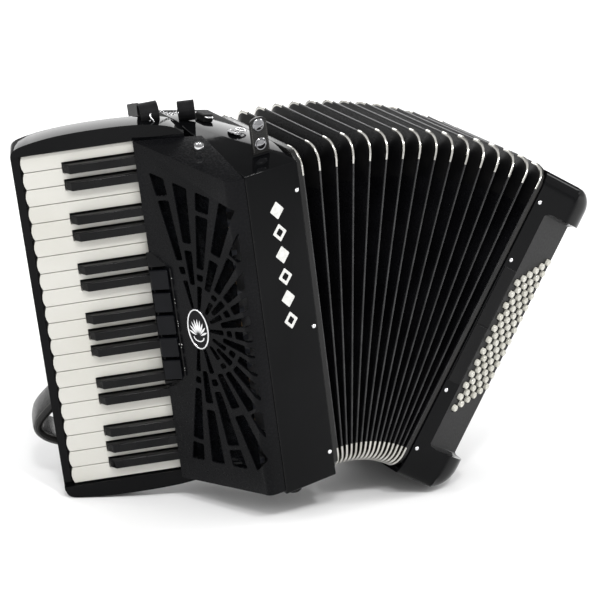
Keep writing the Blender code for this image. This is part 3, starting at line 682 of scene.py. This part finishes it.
# The grille's slotted face, from the cover's corner to the keys
FACE_START = Vector((-0.0805, 0.007))
FACE_END = keyboard_point(0, GRILLE_LIFT)
FACE_LENGTH = (FACE_END - FACE_START).length
FACE_ALONG = (FACE_END - FACE_START).normalized()
FACE = TREBLE @ Matrix.Translation((*FACE_END, 0)) @ Matrix((
    (-FACE_ALONG.x, 0, -FACE_ALONG.y, 0), (-FACE_ALONG.y, 0, FACE_ALONG.x, 0), (0, 1, 0, 0), (0, 0, 0, 1)))
EMBLEM = Vector((FACE_LENGTH * 0.47, 0.186))


def eased(points, by):
    """A closed outline with its corners rounded off."""
    made = []
    for n, corner in enumerate(points):
        before, after = points[n - 1] - corner, points[(n + 1) % len(points)] - corner
        a = corner + before.normalized() * min(by, before.length * 0.45)
        b = corner + after.normalized() * min(by, after.length * 0.45)
        made += [tuple(a), tuple((a + b + corner * 2) / 4), tuple(b)]
    return made


SUNBURST_WIDE, SUNBURST_HIGH, SUNBURST_LOW, SUNBURST_SLANT = 0.0655, 0.1565, 0.152, 0.26
RAY_GAP, RAY_CLOSING = 15.6, 0.4
RAYS_EACH_WAY = 8


def sunburst_reach(ray):
    """How far the sunburst goes from the emblem in a direction of the face."""
    return min(SUNBURST_WIDE / max(ray.x, 1e-6), SUNBURST_HIGH / max(ray.y + SUNBURST_SLANT * ray.x, 1e-6),
               SUNBURST_LOW / max(-ray.y, 1e-6))


def ray_slots():
    """The slots of the sunburst, outlined on the slotted face. Every other ray starts further out, and
    the gaps between rays, in degrees, close towards the upright ones."""
    made = []
    for n in range(-RAYS_EACH_WAY, RAYS_EACH_WAY + 1):
        gap = radians(RAY_GAP - 2 * RAY_CLOSING * abs(n))
        angle = radians(RAY_GAP * n - RAY_CLOSING * n * abs(n))
        ray = Vector((cos(angle), sin(angle)))
        side = Vector((-ray.y, ray.x))
        reach = sunburst_reach(ray)
        near = (0.0140 + 0.0085 * abs(ray.y)) / reach
        if n % 2:
            cuts = [(0.31, 0.55), (0.60, 1)] if reach > 0.08 else [(0.45, 1)]
        elif reach > 0.09:
            cuts = [(near, 0.32), (0.36, 0.41), (0.45, 0.84), (0.87, 1)]
        else:
            cuts = [(near, 0.48), (0.54, 0.64), (0.70, 1)]
        for inner, outer in cuts:
            corners = []
            for share, sides in ((inner, (-1, 1)), (outer, (1, -1))):
                for way in sides:
                    wide = 0.0006 + 0.29 * gap * share * reach
                    corner = ray * share * reach + side * wide * way
                    if share == 1:
                        corner = corner.normalized() * sunburst_reach(corner.normalized())
                    corners.append(EMBLEM + corner)
            made.append(eased(corners, 0.0020))
    return made


def grille():
    """The pierced cover, with gauze and felt behind it, and its thumb screw and emblem."""
    edge = -CASING_WIDTH - 0.0003
    corner = FACE_END
    back = keyboard_point(-0.0690, 0.0046)
    turn = [(-0.0700 - 0.0102 * sin(a), 0.0070 - 0.0070 * cos(a)) for a in (pi / 2 * n / 6 for n in range(7))]
    outer = [(edge, 0)] + turn + [corner, (edge, back.y)]
    wall = 0.0022
    inner = [(edge + 0.01, wall), (-0.0695, wall), (-0.0785, 0.0085),
             (corner.x + wall * 1.2, corner.y - 0.0005), (corner.x + 0.002, corner.y + 0.01),
             (edge + 0.01, back.y + 0.01)]
    top = Vector((0, -GRILLE_RISE, 1))
    shell = shaved(slab("grille_cover", [outer], GRILLE_BOTTOM, 0.42), (Vector((0, 0, GRILLE_TOP)), top))
    hollow = shaved(slab("grille_hollow", [inner], GRILLE_BOTTOM + wall, 0.42),
                    (Vector((0, 0, GRILLE_TOP - wall)), top))
    form = bmesh.new()
    for outline in ray_slots():
        form.from_mesh(slab("slot", [outline], -0.013, 0.010))
    slots = new_mesh("grille_slots", form)
    slots.transform(TREBLE.inverted() @ FACE)
    mesh = carved(shell, hollow, slots, rounding=0.0060, segments=6, edge=28)
    add("grille_cover", mesh, TREBLE, SATIN, TREBLE_BODY, ("treble_grille",))
    gauze = block("grille_gauze", (0.004, 0.014, -0.0040), (FACE_LENGTH - 0.004, 0.349, -0.0034))
    add("grille_gauze", gauze, FACE, GAUZE, TREBLE_BODY)
    backing = block("grille_back_felt", (-0.0640, 0.006, 0.014), (-0.0612, 0.080, 0.345))
    add("grille_back_felt", backing, TREBLE, FELT, TREBLE_BODY)
    screw = [(0, -0.001), (0.0034, -0.001), (0.0034, 0.0035), (0.0052, 0.0040), (0.0055, 0.0050),
             (0.0055, 0.0085), (0.0050, 0.0094), (0.0030, 0.0096), (0.0022, 0.0088), (0, 0.0088)]
    at = Vector((-0.0775, 0.058, GRILLE_TOP + GRILLE_RISE * 0.058))
    pins("grille_thumb_screw", [at], TREBLE, (0, -GRILLE_RISE, 1), TREBLE_BODY, screw)
    emblem()


def emblem():
    """A chrome oval with a fan of leaves."""
    at = FACE @ Matrix.Translation((*EMBLEM, 0))
    a, b = 0.0125, 0.0215
    ring = [(*p, 0.0006) for p in oval(a, b, 56)]
    add("emblem_ring", tube("emblem_ring", ring, 0.0010, 10, True), at, CHROME, TREBLE_BODY)
    plate = slab("emblem_plate", [oval(0.95 * a, 0.95 * b, 56)], -0.0006, 0.0006)
    add("emblem_plate", plate, at, ENAMEL, TREBLE_BODY)
    form = bmesh.new()
    for n in range(9):
        angle = radians(18 + 18 * n)
        run = Vector((cos(angle) * 0.62, sin(angle)))
        side = Vector((-run.y, run.x)).normalized()
        leaf = [(t, 0.0011 * sin(pi * t)) for t in (0.0, 0.25, 0.5, 0.75, 1.0)]
        base = Vector((0, -0.008))
        points = [base + run * (0.004 + 0.0155 * t) + side * w for t, w in leaf]
        points += [base + run * (0.004 + 0.0155 * t) - side * w for t, w in leaf[-2:0:-1]]
        form.from_mesh(slab("leaf", [points], 0.0005, 0.0011))
    arc = [(0.0068 * cos(a), -0.0085 + 0.0055 * sin(a)) for a in (pi + pi * n / 12 for n in range(13))]
    arc += [(0.0056 * cos(a), -0.0085 + 0.0043 * sin(a)) for a in (2 * pi - pi * n / 12 for n in range(13))]
    form.from_mesh(slab("bowl", [arc], 0.0005, 0.0011))
    add("emblem_leaves", new_mesh("emblem_leaves", form), at, CHROME, TREBLE_BODY)


def register_frame():
    """The register block's face: X runs out over the keys and Y out of the face."""
    at = keyboard_point(0.003, 0.021)
    turn = pi - KEYBOARD_TURN - atan2(0.0065, 0.024)
    return TREBLE @ Matrix.Translation((at.x, at.y, 0)) @ Matrix.Rotation(turn, 4, "Z")


def register_block():
    """The block over the keys' inner ends, with its rockers in a pocket, and the dots beside them."""
    foot = GRILLE_LIFT + 0.0003
    profile = ((0.003, foot), (0.003, 0.021), (-0.021, 0.0275), (-0.026, 0.0280), (-0.029, 0.0200),
               (-0.005, foot))
    outline = [keyboard_point(along, out) for along, out in profile]
    half_length, pocket_half = 0.076, 0.0635
    low, high = REGISTER_MIDDLE - half_length, REGISTER_MIDDLE + half_length
    mesh = slab("register_block", [outline], low, high)
    out = (keyboard_point(0, 1) - keyboard_point(0, 0)).normalized()
    tip = keyboard_point(0.003, 0.012)
    shaved(mesh, *((Vector((*tip, end)), Vector((*out * 0.72, way * 0.69)))
                   for end, way in ((low, -1), (high, 1))))
    pocket = block("register_pocket", (-0.0215, -0.0045, REGISTER_MIDDLE - pocket_half),
                   (-0.0005, 0.004, REGISTER_MIDDLE + pocket_half))
    pocket.transform(TREBLE.inverted() @ register_frame())
    mesh = carved(mesh, pocket, rounding=0.0012, segments=3)
    add("register_block", mesh, TREBLE, EBONY, TREBLE_BODY)
    form = bmesh.new()
    dot = [(0, 0), (0.00075, 0), (0.00075, 0.00022), (0, 0.00022)]
    patterns = ([(0, 0.0)], [(0, 0.0022), (0, -0.0022)], [(0, 0.0026), (0, 0), (0, -0.0026)],
                [(-0.0012, 0.0018), (0.0012, 0.0018), (0, -0.0018)], [(0, -0.0024), (0, 0.0)])
    for n in range(REGISTERS):
        refined(f"register_switch_{n + 1}", ROCKER, f"register_{n + 1}", 0.0024, 6)
        z = REGISTER_MIDDLE + REGISTER_PITCH * ((REGISTERS - 1) / 2 - n)
        for u, v in patterns[n]:
            turned("dot", dot, 12, Matrix.Translation((0.0245 + u, z + v, 0)), form)
    add("register_dots", new_mesh("register_dots", form), FACE, WHITE_INK, TREBLE_BODY)


# ---------------------------------------------------------------- bellows

# How many stretches the bellows' outline has along its short and long sides, and around a corner
SIDE_STEPS, CORNER_STEPS = (5, 12), 7
RIDGE_HALF = 0.00125
# The share of a pleat's room that each ridge beside it takes
RIDGE_SHARE = 0.06


def rim(inset):
    """The pleat's rounded outline, inset evenly, always with the same number of points. With each point
    comes the number of the corner that it lies on, or none."""
    y0, y1 = BELLOWS_FRONT + inset, BELLOWS_FRONT + BELLOWS_DEPTH - inset
    z0, z1 = inset, BELLOWS_HEIGHT - inset
    radius = max(CORNER - inset, 0.0015)
    corners = ((y1 - radius, z1 - radius, 0), (y0 + radius, z1 - radius, 1), (y0 + radius, z0 + radius, 2),
               (y1 - radius, z0 + radius, 3))
    made = []
    for n, (y, z, turn) in enumerate(corners):
        turns = [pi / 2 * (turn + i / CORNER_STEPS) for i in range(CORNER_STEPS + 1)]
        arc = [Vector((y + radius * cos(a), z + radius * sin(a))) for a in turns]
        made += [(p, n) for p in arc]
        next_y, next_z, next_turn = corners[(n + 1) % 4]
        start = Vector((next_y + radius * cos(pi / 2 * next_turn), next_z + radius * sin(pi / 2 * next_turn)))
        count = SIDE_STEPS[n % 2]
        made += [(arc[-1].lerp(start, i / count), None) for i in range(1, count)]
    return made


def loop_mesh(name, rings, looks, pick):
    """A mesh of loops of points around the bellows, each joined to the next and the last to the first.
    pick(ring, point) chooses each face's look."""
    form = bmesh.new()
    verts = [[form.verts.new(p) for p in ring] for ring in rings]
    count = len(rings[0])
    for a in range(len(rings)):
        b = (a + 1) % len(rings)
        for i in range(count):
            j = (i + 1) % count
            face = form.faces.new((verts[a][i], verts[a][j], verts[b][j], verts[b][i]))
            face.material_index = pick(a, i)
    mesh = new_mesh(name, form, 40)
    for look in looks:
        mesh.materials.append(look)
    return mesh


def hold_between(piece):
    """Bakes a piece's placing into its mesh; it rides on no body."""
    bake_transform(piece)


def hold_pleat(piece):
    """Bakes a pleat's placing into its mesh; it rides on no body."""
    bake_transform(piece)


def ridge(k):
    """One ridge of card bound in tape, with a painted highlight along its nose and chrome protectors on its
    corners.
    """
    share = k / PLEATS
    at = fan(share)
    half = RIDGE_HALF
    section = [(0.0100, -half * 0.8), (0.0045, -half), (0.0010, -half), (0.0003, -half * 0.62), (0, 0),
               (0.0003, half * 0.62), (0.0010, half), (0.0045, half), (0.0100, half * 0.8)]
    outlines = [rim(inset) for inset, _ in section]
    rings = [[Vector((x, p.x, p.y)) for p, _ in outline] for (_, x), outline in zip(section, outlines)]
    # The two bands of faces round each ridge's nose take the lighter tape: a painted highlight.
    mesh = loop_mesh(f"bellows_ridge_{k:02d}", rings, (TAPE, TAPE_NOSE_HIGHLIGHT), lambda a, i: 1 if a in (3, 4) else 0)
    piece = add(mesh.name, mesh, at, None, None)
    chrome = corner_protectors(k, at)
    for item in (piece, chrome):
        if k == 0:
            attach(item, TREBLE_BODY)
        elif k == PLEATS:
            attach(item, BASS_BODY)
        else:
            hold_between(item)
    return piece


def corner_protectors(k, at):
    """The four nickel channels folded over a ridge's corners, each with a short straight end."""
    half, skin = RIDGE_HALF + 0.0002, 0.0004
    section = [(0.0056, -half), (0.0012, -half), (0.0, -half * 0.72), (-0.0005, 0), (0.0, half * 0.72),
               (0.0012, half), (0.0056, half), (0.0056, half - skin), (0.0013, half - skin), (0.00035, 0),
               (0.0013, skin - half), (0.0056, skin - half)]
    form = bmesh.new()
    steps, reach = 10, 0.0065
    for turn in range(4):
        cy = (BELLOWS_FRONT + BELLOWS_DEPTH - CORNER) if turn in (0, 3) else BELLOWS_FRONT + CORNER
        cz = (BELLOWS_HEIGHT - CORNER) if turn in (0, 1) else CORNER
        rings = []
        for i in range(-2, steps + 3):
            share = min(max(i, 0), steps) / steps
            angle = pi / 2 * (turn + share)
            out = Vector((cos(angle), sin(angle)))
            along = Vector((-out.y, out.x))
            slide = reach * (i / 2 if i < 0 else (i - steps) / 2 if i > steps else 0)
            base = Vector((cy, cz)) + along * slide
            rings.append([form.verts.new((x, *(base + out * (CORNER - inset)))) for inset, x in section])
        join_rings(form, rings)
    mesh = new_mesh(f"bellows_corners_{k:02d}", form, 50)
    return add(mesh.name, mesh, at, NICKEL, None)


def pleat(k):
    """The folded panel between two ridges, with leather gussets at its corners."""
    start, thick, belly = 0.0020, 0.0023, 0.0009
    steps = 8
    path = []
    for n in range(steps + 1):
        down = 1 - abs(2 * n / steps - 1)
        path.append((n / steps, start + (PLEAT_DEPTH - start) * down - belly * sin(pi * down)))
    path += [(t, inset + thick) for t, inset in path[::-1]]
    rings = []
    for t, inset in path:
        here = fan((k + RIDGE_SHARE + (1 - 2 * RIDGE_SHARE) * t) / PLEATS)
        rings.append([here @ Vector((0, p.x, p.y)) for p, _ in rim(inset)])
    on_corner = [corner is not None for _, corner in rim(start)]
    mesh = loop_mesh(f"bellows_pleat_{k:02d}", rings, (CLOTH, GUSSET), lambda a, i: int(on_corner[i]))
    piece = add(mesh.name, mesh, PLAN, None, None)
    hold_pleat(piece)
    return piece


def bellows():
    """Ridges and pleats in turn between two wooden frames. Five of them stand for the CAD's fold rings."""
    ridges = [ridge(k) for k in range(PLEATS + 1)]
    pleats = [pleat(k) for k in range(PLEATS)]
    for fold, piece in enumerate((pleats[2], ridges[5], pleats[7], ridges[10], pleats[12]), 1):
        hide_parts(f"bellows_fold_{fold}")
    refined("bellows_frame_treble", STAINED, TREBLE_BODY, 0.0008, 2)
    refined("bellows_frame_bass", STAINED, BASS_BODY, 0.0008, 2)


# ---------------------------------------------------------------- bass side

def bass_side():
    """The bass casing and all that rides on it."""
    bass_shell()
    pins("bass_pins", [(0.0105, 0, z) for z in (0.317, 0.250, 0.098, 0.0295)], BASS, (0, -1, 0), BASS_BODY)
    for n, (low, high) in enumerate(((0.1085, 0.1745), (0.1755, 0.2415))):
        panel = block("strip_panel", (0.0068, -0.0008, low), (0.0232, 0.0006, high))
        add(f"bass_strip_panel_{n + 1}", panel, BASS, EBONY, BASS_BODY, rounding=0.0005,
            segments=2)
    button_board()
    buttons()
    hand_strap()
    air_button()


def bass_form():
    """The bass casing's closed shape, whose two ends are well rounded on their outer side."""
    edge = smooth_route([(0.050, 0), (0.058, 0.0005), (0.078, 0.010), (0.093, 0.030), (0.098, 0.055)], 4)
    points = [((0.0053, 0), (0, -1))]
    for n, point in enumerate(edge):
        run = (edge[min(n + 1, len(edge) - 1)] - edge[max(n - 1, 0)]).normalized()
        points.append((tuple(point), (run.y, -run.x)))
    points += [((0.098, 0.120), (1, 0)), ((0.098, 0.180), (1, 0)), ((0.0053, 0.180), (0, 0))]
    turns = [pi / 2 * n / 8 for n in range(9)]
    levels = [(BASS_BOTTOM + LOW_HORN * (1 - sin(a)), LOW_HORN_OUT * (1 - cos(a)), HORN_FRONT * (1 - cos(a)))
              for a in turns[::-1]]
    levels += [(BASS_TOP - HORN * (1 - sin(a)), HORN_OUT * (1 - cos(a)), HORN_FRONT * (1 - cos(a)))
               for a in turns]
    form = bmesh.new()
    rings = [[form.verts.new((x - out_x * inward, y - out_y * back, z)) for (x, y), (out_x, out_y) in points]
             for z, inward, back in levels]
    join_rings(form, rings)
    return new_mesh("bass_casing_shell", form)


BOARD_SKIN = 0.0023


def bass_recess():
    """What the button board's slope takes out of the casing, with its two ends curving up to the horns."""
    low_corner, high_corner = board_point(0, -BOARD_SKIN), board_point(BOARD_WIDTH, -BOARD_SKIN)
    outline = [board_point(0, 0.03), low_corner, high_corner, (high_corner[0], 0.2), (0.14, 0.2),
               (0.14, -0.03)]
    form = bmesh.new()
    form.from_mesh(slab("bass_recess", [outline], BOARD_LOW, BOARD_HIGH))

    def on_floor(vert):
        return min((Vector(corner) - vert.co.xy).length for corner in (low_corner, high_corner)) < 0.0001

    ends = [e for e in form.edges
            if all(on_floor(v) for v in e.verts) and abs(e.verts[0].co.z - e.verts[1].co.z) < 0.001]
    bmesh.ops.bevel(form, geom=ends, offset=0.0085, segments=7, profile=0.5, affect="EDGES")
    return new_mesh("bass_recess", form)


def bass_shell():
    """The bass casing, hollow, with a window under the button board and a bore for the air button."""
    back = board_point(BOARD_WIDTH, -BOARD_SKIN)[0] - CASING_WALL
    hollow = [(-0.01, CASING_WALL), (STRIP - 0.003, CASING_WALL), board_point(0.0585, -0.008), (back, 0.042),
              (back, 0.175), (-0.01, 0.175)]
    window = [board_point(across, out) for across, out in ((0.0070, 0.01), (0.0070, -0.012),
                                                           (0.0650, -0.012), (0.0650, 0.01))]
    bore = turned("air_bore", [(0, 0.060), (0.0085, 0.060), (0.0085, 0.12), (0, 0.12)], 32,
                  Matrix.Translation(AIR_AT) @ toward((1, 0, 0)))
    mesh = carved(bass_form(), bass_recess(),
                  slab("bass_hollow", [hollow], BASS_BOTTOM + CASING_WALL, BASS_TOP - CASING_WALL),
                  slab("bass_window", [window], 0.073, 0.276), bore)
    add("bass_casing_shell", mesh, BASS, LACQUER, BASS_BODY, ("bass_casing",), 0.0012, 3, 50)


def board_frame():
    """X runs across the button board, Y up it, and Z out of it."""
    turn = BOARD_TURN
    return BASS @ Matrix.Translation((STRIP, 0, 0)) @ Matrix((
        (cos(turn), 0, sin(turn), 0), (sin(turn), 0, -cos(turn), 0), (0, 1, 0, 0), (0, 0, 0, 1)))


def button_places():
    """Where the bass buttons stand on the board, in rows that are each shifted by half a pitch."""
    return [(FIRST_BUTTON.x + BUTTON_ROW * row, FIRST_BUTTON.y + BUTTON_PITCH * (column + row / 2))
            for row in range(BASS_ROWS) for column in range(BASS_COLUMNS)]


def button_board():
    """The board between the horns, with a round hole for each button."""
    hole, gap = 0.0048, 0.0004
    holes = [oval(hole, hole, 16, place) for place in button_places()]
    outline = rounded(gap, BOARD_LOW + gap, BOARD_WIDTH - gap, BOARD_HIGH - gap, 0.0015, 3)
    board = slab("button_board", [outline] + holes, -0.0018, 0.0)
    add("button_board", board, board_frame(), BOARD_SATIN, BASS_BODY, ("bass_button_board",),
        0.0003, 2)


def buttons():
    """All the bass buttons, each a turned and dimpled cap."""
    radius, height = 0.0036, 0.0032
    cap = [(0, -0.0030), (radius, -0.0030), (radius, height - 0.0009), (radius * 0.90, height - 0.0002),
           (radius * 0.76, height), (radius * 0.62, height - 0.00025), (radius * 0.30, height - 0.00075),
           (0, height - 0.0009)]
    form = bmesh.new()
    for place in button_places():
        turned("button", cap, 20, Matrix.Translation((*place, 0)), form)
    add("bass_button_caps", new_mesh("bass_button_caps", form), board_frame(), CREAM, "button_set",
        ("bass_buttons",))


def power(value, exponent):
    """A value's size to a power, with its own sign."""
    return abs(value) ** exponent * (1 if value > 0 else -1)


def hand_strap():
    """The strap that the left hand goes under, its stitching, and the wheel that sets its length."""
    at = BASS @ Matrix.Translation((0, 0.118, 0))
    route = smooth_route(HAND_ROUTE, 8)

    def section(share):
        soft = min(1, 8 * min(share, 1 - share) + 0.25)
        width, thick = 0.0275 * (0.82 + 0.18 * soft), 0.0018 + 0.0006 * soft
        turns = [2 * pi * (i + 0.5) / 28 for i in range(28)]
        return [(width * cos(a), thick * power(sin(a), 0.45)) for a in turns]

    add("hand_strap_leather", strip("hand_strap_leather", route, section), at, PAD, BASS_BODY,
        ("bass_strap",))
    places, runs = seam(smooth_route(HAND_ROUTE, 18), 6, 0.0235, 0.00225)
    stitches("hand_strap_stitches", places, runs, 0.0022, 0.0003, at, BASS_BODY)
    teeth, inner, outer = 36, 0.0108, 0.0116
    tooth = ((inner, 0.0), (outer, 0.3), (outer, 0.6), (inner, 0.9))
    knurled = [(radius * cos(2 * pi * (n + share) / teeth), radius * sin(2 * pi * (n + share) / teeth))
               for n in range(teeth) for radius, share in tooth]
    wheel = slab("hand_strap_wheel", [knurled], -0.0028, 0.0028)
    add("hand_strap_wheel", wheel, BASS @ Matrix.Translation((0.0915, 0.118, 0.3185)), CHROME, BASS_BODY,
        rounding=0.0003, segments=2)


def air_button():
    """The chrome knob on the bass side's outer face."""
    at = BASS @ Matrix.Translation(AIR_AT + Vector((0.0835, 0, 0))) @ toward((1, 0, 0))
    knob = [(0, -0.010), (0.0075, -0.010), (0.0075, 0.0072), (0.0069, 0.0086), (0.0056, 0.0090),
            (0.0044, 0.0082), (0.0020, 0.0076), (0, 0.0075)]
    add("air_button_cap", turned("air_button_cap", knob, 36), at, CHROME, "air_knob",
        ("air_button",))


# ---------------------------------------------------------------- straps

def shoulder_pad(name, node, body, carrier, at, route_points):
    """A padded leather shoulder strap: crowned on both faces, piped along its edges and stitched."""
    place = carrier @ Matrix.Translation(at)
    route = smooth_route(route_points, 10)
    half_width, half_thick = 0.0285, 0.0058

    def fullness(share):
        return min(1.0, 9 * min(share, 1 - share))

    def half_width_at(share):
        return half_width * (0.62 + 0.38 * fullness(share) ** 0.7)

    def section(share):
        made = []
        for i in range(36):
            a = 2 * pi * (i + 0.5) / 36
            u, v = cos(a), sin(a)
            soft = 1 + 0.05 * noise.noise(Vector((u * 2.2, share * 46, v))) - 0.05 * (abs(u) > 0.8)
            made.append((half_width_at(share) * power(u, 0.86),
                         half_thick * power(v, 0.62) * soft * (0.55 + 0.45 * fullness(share))))
        return made

    pad = add(name, strip(name, route, section), place, PAD, body, (node,))
    form = bmesh.new()
    for side in (-1, 1):
        line = [point + Vector((0, side * 0.985 * half_width_at(n / (len(route) - 1)), 0))
                for n, (point, _, _) in enumerate(route_frames(route))]
        tube("piping", line, 0.0011, 8, form=form)
    piping = new_mesh(name + "_piping", form, SHARP_WHEN_ROUND)
    add(piping.name, piping, place, LEATHER, body)
    places, runs = seam(smooth_route(route_points, 16), 12, 0.0238, 0.00405)
    stitches(name + "_stitches", places, runs, 0.0026, 0.00042, place, body)
    top, low = route_points[0][1], route_points[-1][1]
    buckle = bmesh.new()
    for z in (top - 0.010, low + 0.010):
        ring = [Vector((x, y, z)) for x, y in rounded(-0.0068, -0.0195, 0.0068, 0.0195, 0.004, 5)]
        tube("buckle", ring, 0.0011, 8, True, form=buckle)
    keepers = new_mesh(name + "_keepers", buckle, SHARP_WHEN_ROUND)
    add(keepers.name, keepers, place, CHROME, body)


def webbing_loop(name, middle, size, lean, half_width):
    """A flat band of webbing stood up as a loop on the casing's top."""
    path = [(size[0] * cos(a), size[1] * (1 + sin(a))) for a in (2 * pi * n / 28 - pi / 2 for n in range(28))]
    half = 0.0008
    section = [(-half_width, -half), (half_width, -half), (half_width, half), (-half_width, half)]
    mesh = strip(name, path + [path[0]], lambda share: section)
    at = TREBLE @ Matrix.Translation(middle) @ Matrix.Rotation(lean, 4, "Z")
    return add(name, mesh, at, WEBBING, TREBLE_BODY, rounding=0.0003, segments=2)


def loops_and_chain():
    """The webbing loops, chain and clip that hold the shoulder straps' upper ends."""
    webbing_loop("webbing_loop_outer", Vector((-0.0965, 0.122, 0.3905)), (0.0100, 0.0102), radians(74),
                 0.0095)
    webbing_loop("webbing_loop_inner", Vector((-0.0470, 0.138, top_height(-0.047, 0.138) + 0.001)),
                 (0.0080, 0.0098), radians(62), 0.0085)
    hung_at = Vector((-0.0990, 0.1110, 0.3970))
    bent = [hung_at + Vector((0.0016 * sin(2 * a), 0.0022 * cos(a), 0.0062 * sin(a)))
            for a in (2 * pi * n / 24 for n in range(24))]
    add("outer_bracket_ring", tube("outer_bracket_ring", bent, 0.0010, 8, True), TREBLE, CHROME,
        TREBLE_BODY)
    form = bmesh.new()
    start, end = Vector((-0.0850, 0.118, 0.4010)), Vector((-0.0590, 0.132, 0.3890))
    links = 10
    for n in range(links):
        t = (n + 0.5) / links
        middle = start.lerp(end, t) + Vector((0, 0, -0.003 * sin(pi * t)))
        run = (end - start).normalized()
        turn = toward(run) @ Matrix.Rotation(pi / 2 * (n % 2), 4, "Z")
        link = [Matrix.Translation(middle) @ turn @ Vector((0.0012 * cos(a), 0, 0.0019 * sin(a)))
                for a in (2 * pi * i / 14 for i in range(14))]
        tube("link", link, 0.00042, 6, True, form=form)
    add("strap_chain", new_mesh("strap_chain", form, SHARP_WHEN_ROUND), TREBLE, CHROME, TREBLE_BODY)
    at = top_frame(-0.030, 0.136)
    clip = block("strap_clip", (-0.0095, -0.0060, 0), (0.0095, 0.0060, 0.0085))
    add("strap_clip", clip, at, RUBBER, TREBLE_BODY, rounding=0.0022, segments=4)
    bar = [(x, y, 0.0060) for x, y in rounded(-0.0125, -0.0040, 0.0125, 0.0040, 0.0025, 4)]
    add("strap_clip_ring", tube("strap_clip_ring", bar, 0.0010, 8, True), at, CHROME, TREBLE_BODY)


def straps():
    """Both shoulder straps with what hangs them."""
    shoulder_pad("shoulder_pad_outer", "shoulder_strap_outer", "outer_shoulder_strap", KEYBOARD,
                 OUTER_STRAP_AT, OUTER_ROUTE)
    shoulder_pad("shoulder_pad_inner", "shoulder_strap_inner", "inner_shoulder_strap", TREBLE,
                 INNER_STRAP_AT, INNER_ROUTE)
    loops_and_chain()


def inner_parts():
    """The CAD pieces that stay as they are get materials of their own."""
    for node, look in (("treble_reed_block", WOOD), ("bass_reed_block", WOOD), ("key_axle", STEEL)):
        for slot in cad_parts[node].material_slots:
            slot.material = look


# ---------------------------------------------------------------- studio

# Each lamp's place, width and height, and watts
LAMPS = {"key": ((-1.3, -2.15, 2.6), (0.50, 0.50), 36),
         "back": ((0.4, 2.6, 1.7), (3.4, 1.5), 60),
         "above": ((-0.25, -2.2, 2.5), (0.32, 0.22), 26),
         "left": ((-2.4, -0.4, 1.75), (0.30, 0.80), 10),
         "right": ((2.4, -0.9, 1.2), (0.5, 1.8), 26)}
LAMPS_LOOK_AT = Vector((0, 0, 0.2))
DARKER_SIDE = Vector((0.50, 0.70, 0.50)).normalized()


def studio():
    """A white floor, a white world that is dimmer on one side, and the lamps."""
    form = bmesh.new()
    bmesh.ops.create_grid(form, x_segments=1, y_segments=1, size=9)
    floor = add("floor", new_mesh("floor", form), Matrix.Translation((0, 0, -0.0003)), None, None)
    paper = bpy.data.materials.new("white paper floor")
    paper.use_nodes = True
    tree = paper.node_tree
    shader = tree.nodes["Principled BSDF"]
    tree.links.new(mix_colour(tree, noise_node(tree, 3, 4.0), (0.86, 0.86, 0.86), (0.89, 0.89, 0.89)),
                   shader.inputs["Base Color"])
    shader.inputs["Roughness"].default_value = 0.9
    shader.inputs["Specular IOR Level"].default_value = 0.1
    floor.data.materials.append(paper)
    world = bpy.data.worlds.new("studio")
    bpy.context.scene.world = world
    world.use_nodes = True
    tree = world.node_tree
    sky = tree.nodes["Background"]
    sky.inputs["Color"].default_value = (1, 1, 1, 1)
    look = add_node(tree, "ShaderNodeTexCoord")
    facing = add_node(tree, "ShaderNodeVectorMath", operation="DOT_PRODUCT")
    facing.inputs[1].default_value = DARKER_SIDE
    tree.links.new(look.outputs["Generated"], facing.inputs[0])
    tree.links.new(spread(tree, facing.outputs["Value"], 1.05, 0.30, 0.35, 0.80), sky.inputs["Strength"])
    bpy.context.scene.view_settings.view_transform = "Standard"
    for name, (place, size, watts) in LAMPS.items():
        lamp = bpy.data.lights.new(name, "AREA")
        lamp.shape = "RECTANGLE"
        lamp.size, lamp.size_y = size
        lamp.energy = watts
        made = bpy.data.objects.new(name, lamp)
        bpy.context.scene.collection.objects.link(made)
        made.location = place
        made.rotation_euler = (LAMPS_LOOK_AT - Vector(place)).to_track_quat("-Z", "Y").to_euler()


def camera():
    """The view, as an azimuth, elevation, roll and distance about a point of the treble frame."""
    azimuth, elevation, roll = radians(-27.1664), radians(22.9619), radians(-7.2639)
    distance, focal, sensor = 3.001, 2880.55, 600
    target = Vector((0.02985, 0.090, 0.16558))
    back = Vector((sin(azimuth) * cos(elevation), -cos(azimuth) * cos(elevation), sin(elevation)))
    right = Vector((cos(azimuth), sin(azimuth), 0))
    up = back.cross(right)
    across = right * cos(roll) + up * sin(roll)
    over = up * cos(roll) - right * sin(roll)
    lens = bpy.data.cameras.new("camera")
    lens.sensor_width = 36
    lens.lens = focal * 36 / sensor
    lens.clip_end = 60
    made = bpy.data.objects.new("camera", lens)
    bpy.context.scene.collection.objects.link(made)
    turn = Matrix((across, over, back)).transposed().to_4x4()
    made.matrix_world = TREBLE @ Matrix.Translation(target + back * distance) @ turn
    bpy.context.scene.camera = made


casing()
inlays()
strap_plate()
clip_strap()
keyboard()
grille()
register_block()
bellows()
bass_side()
straps()
inner_parts()
studio()
camera()
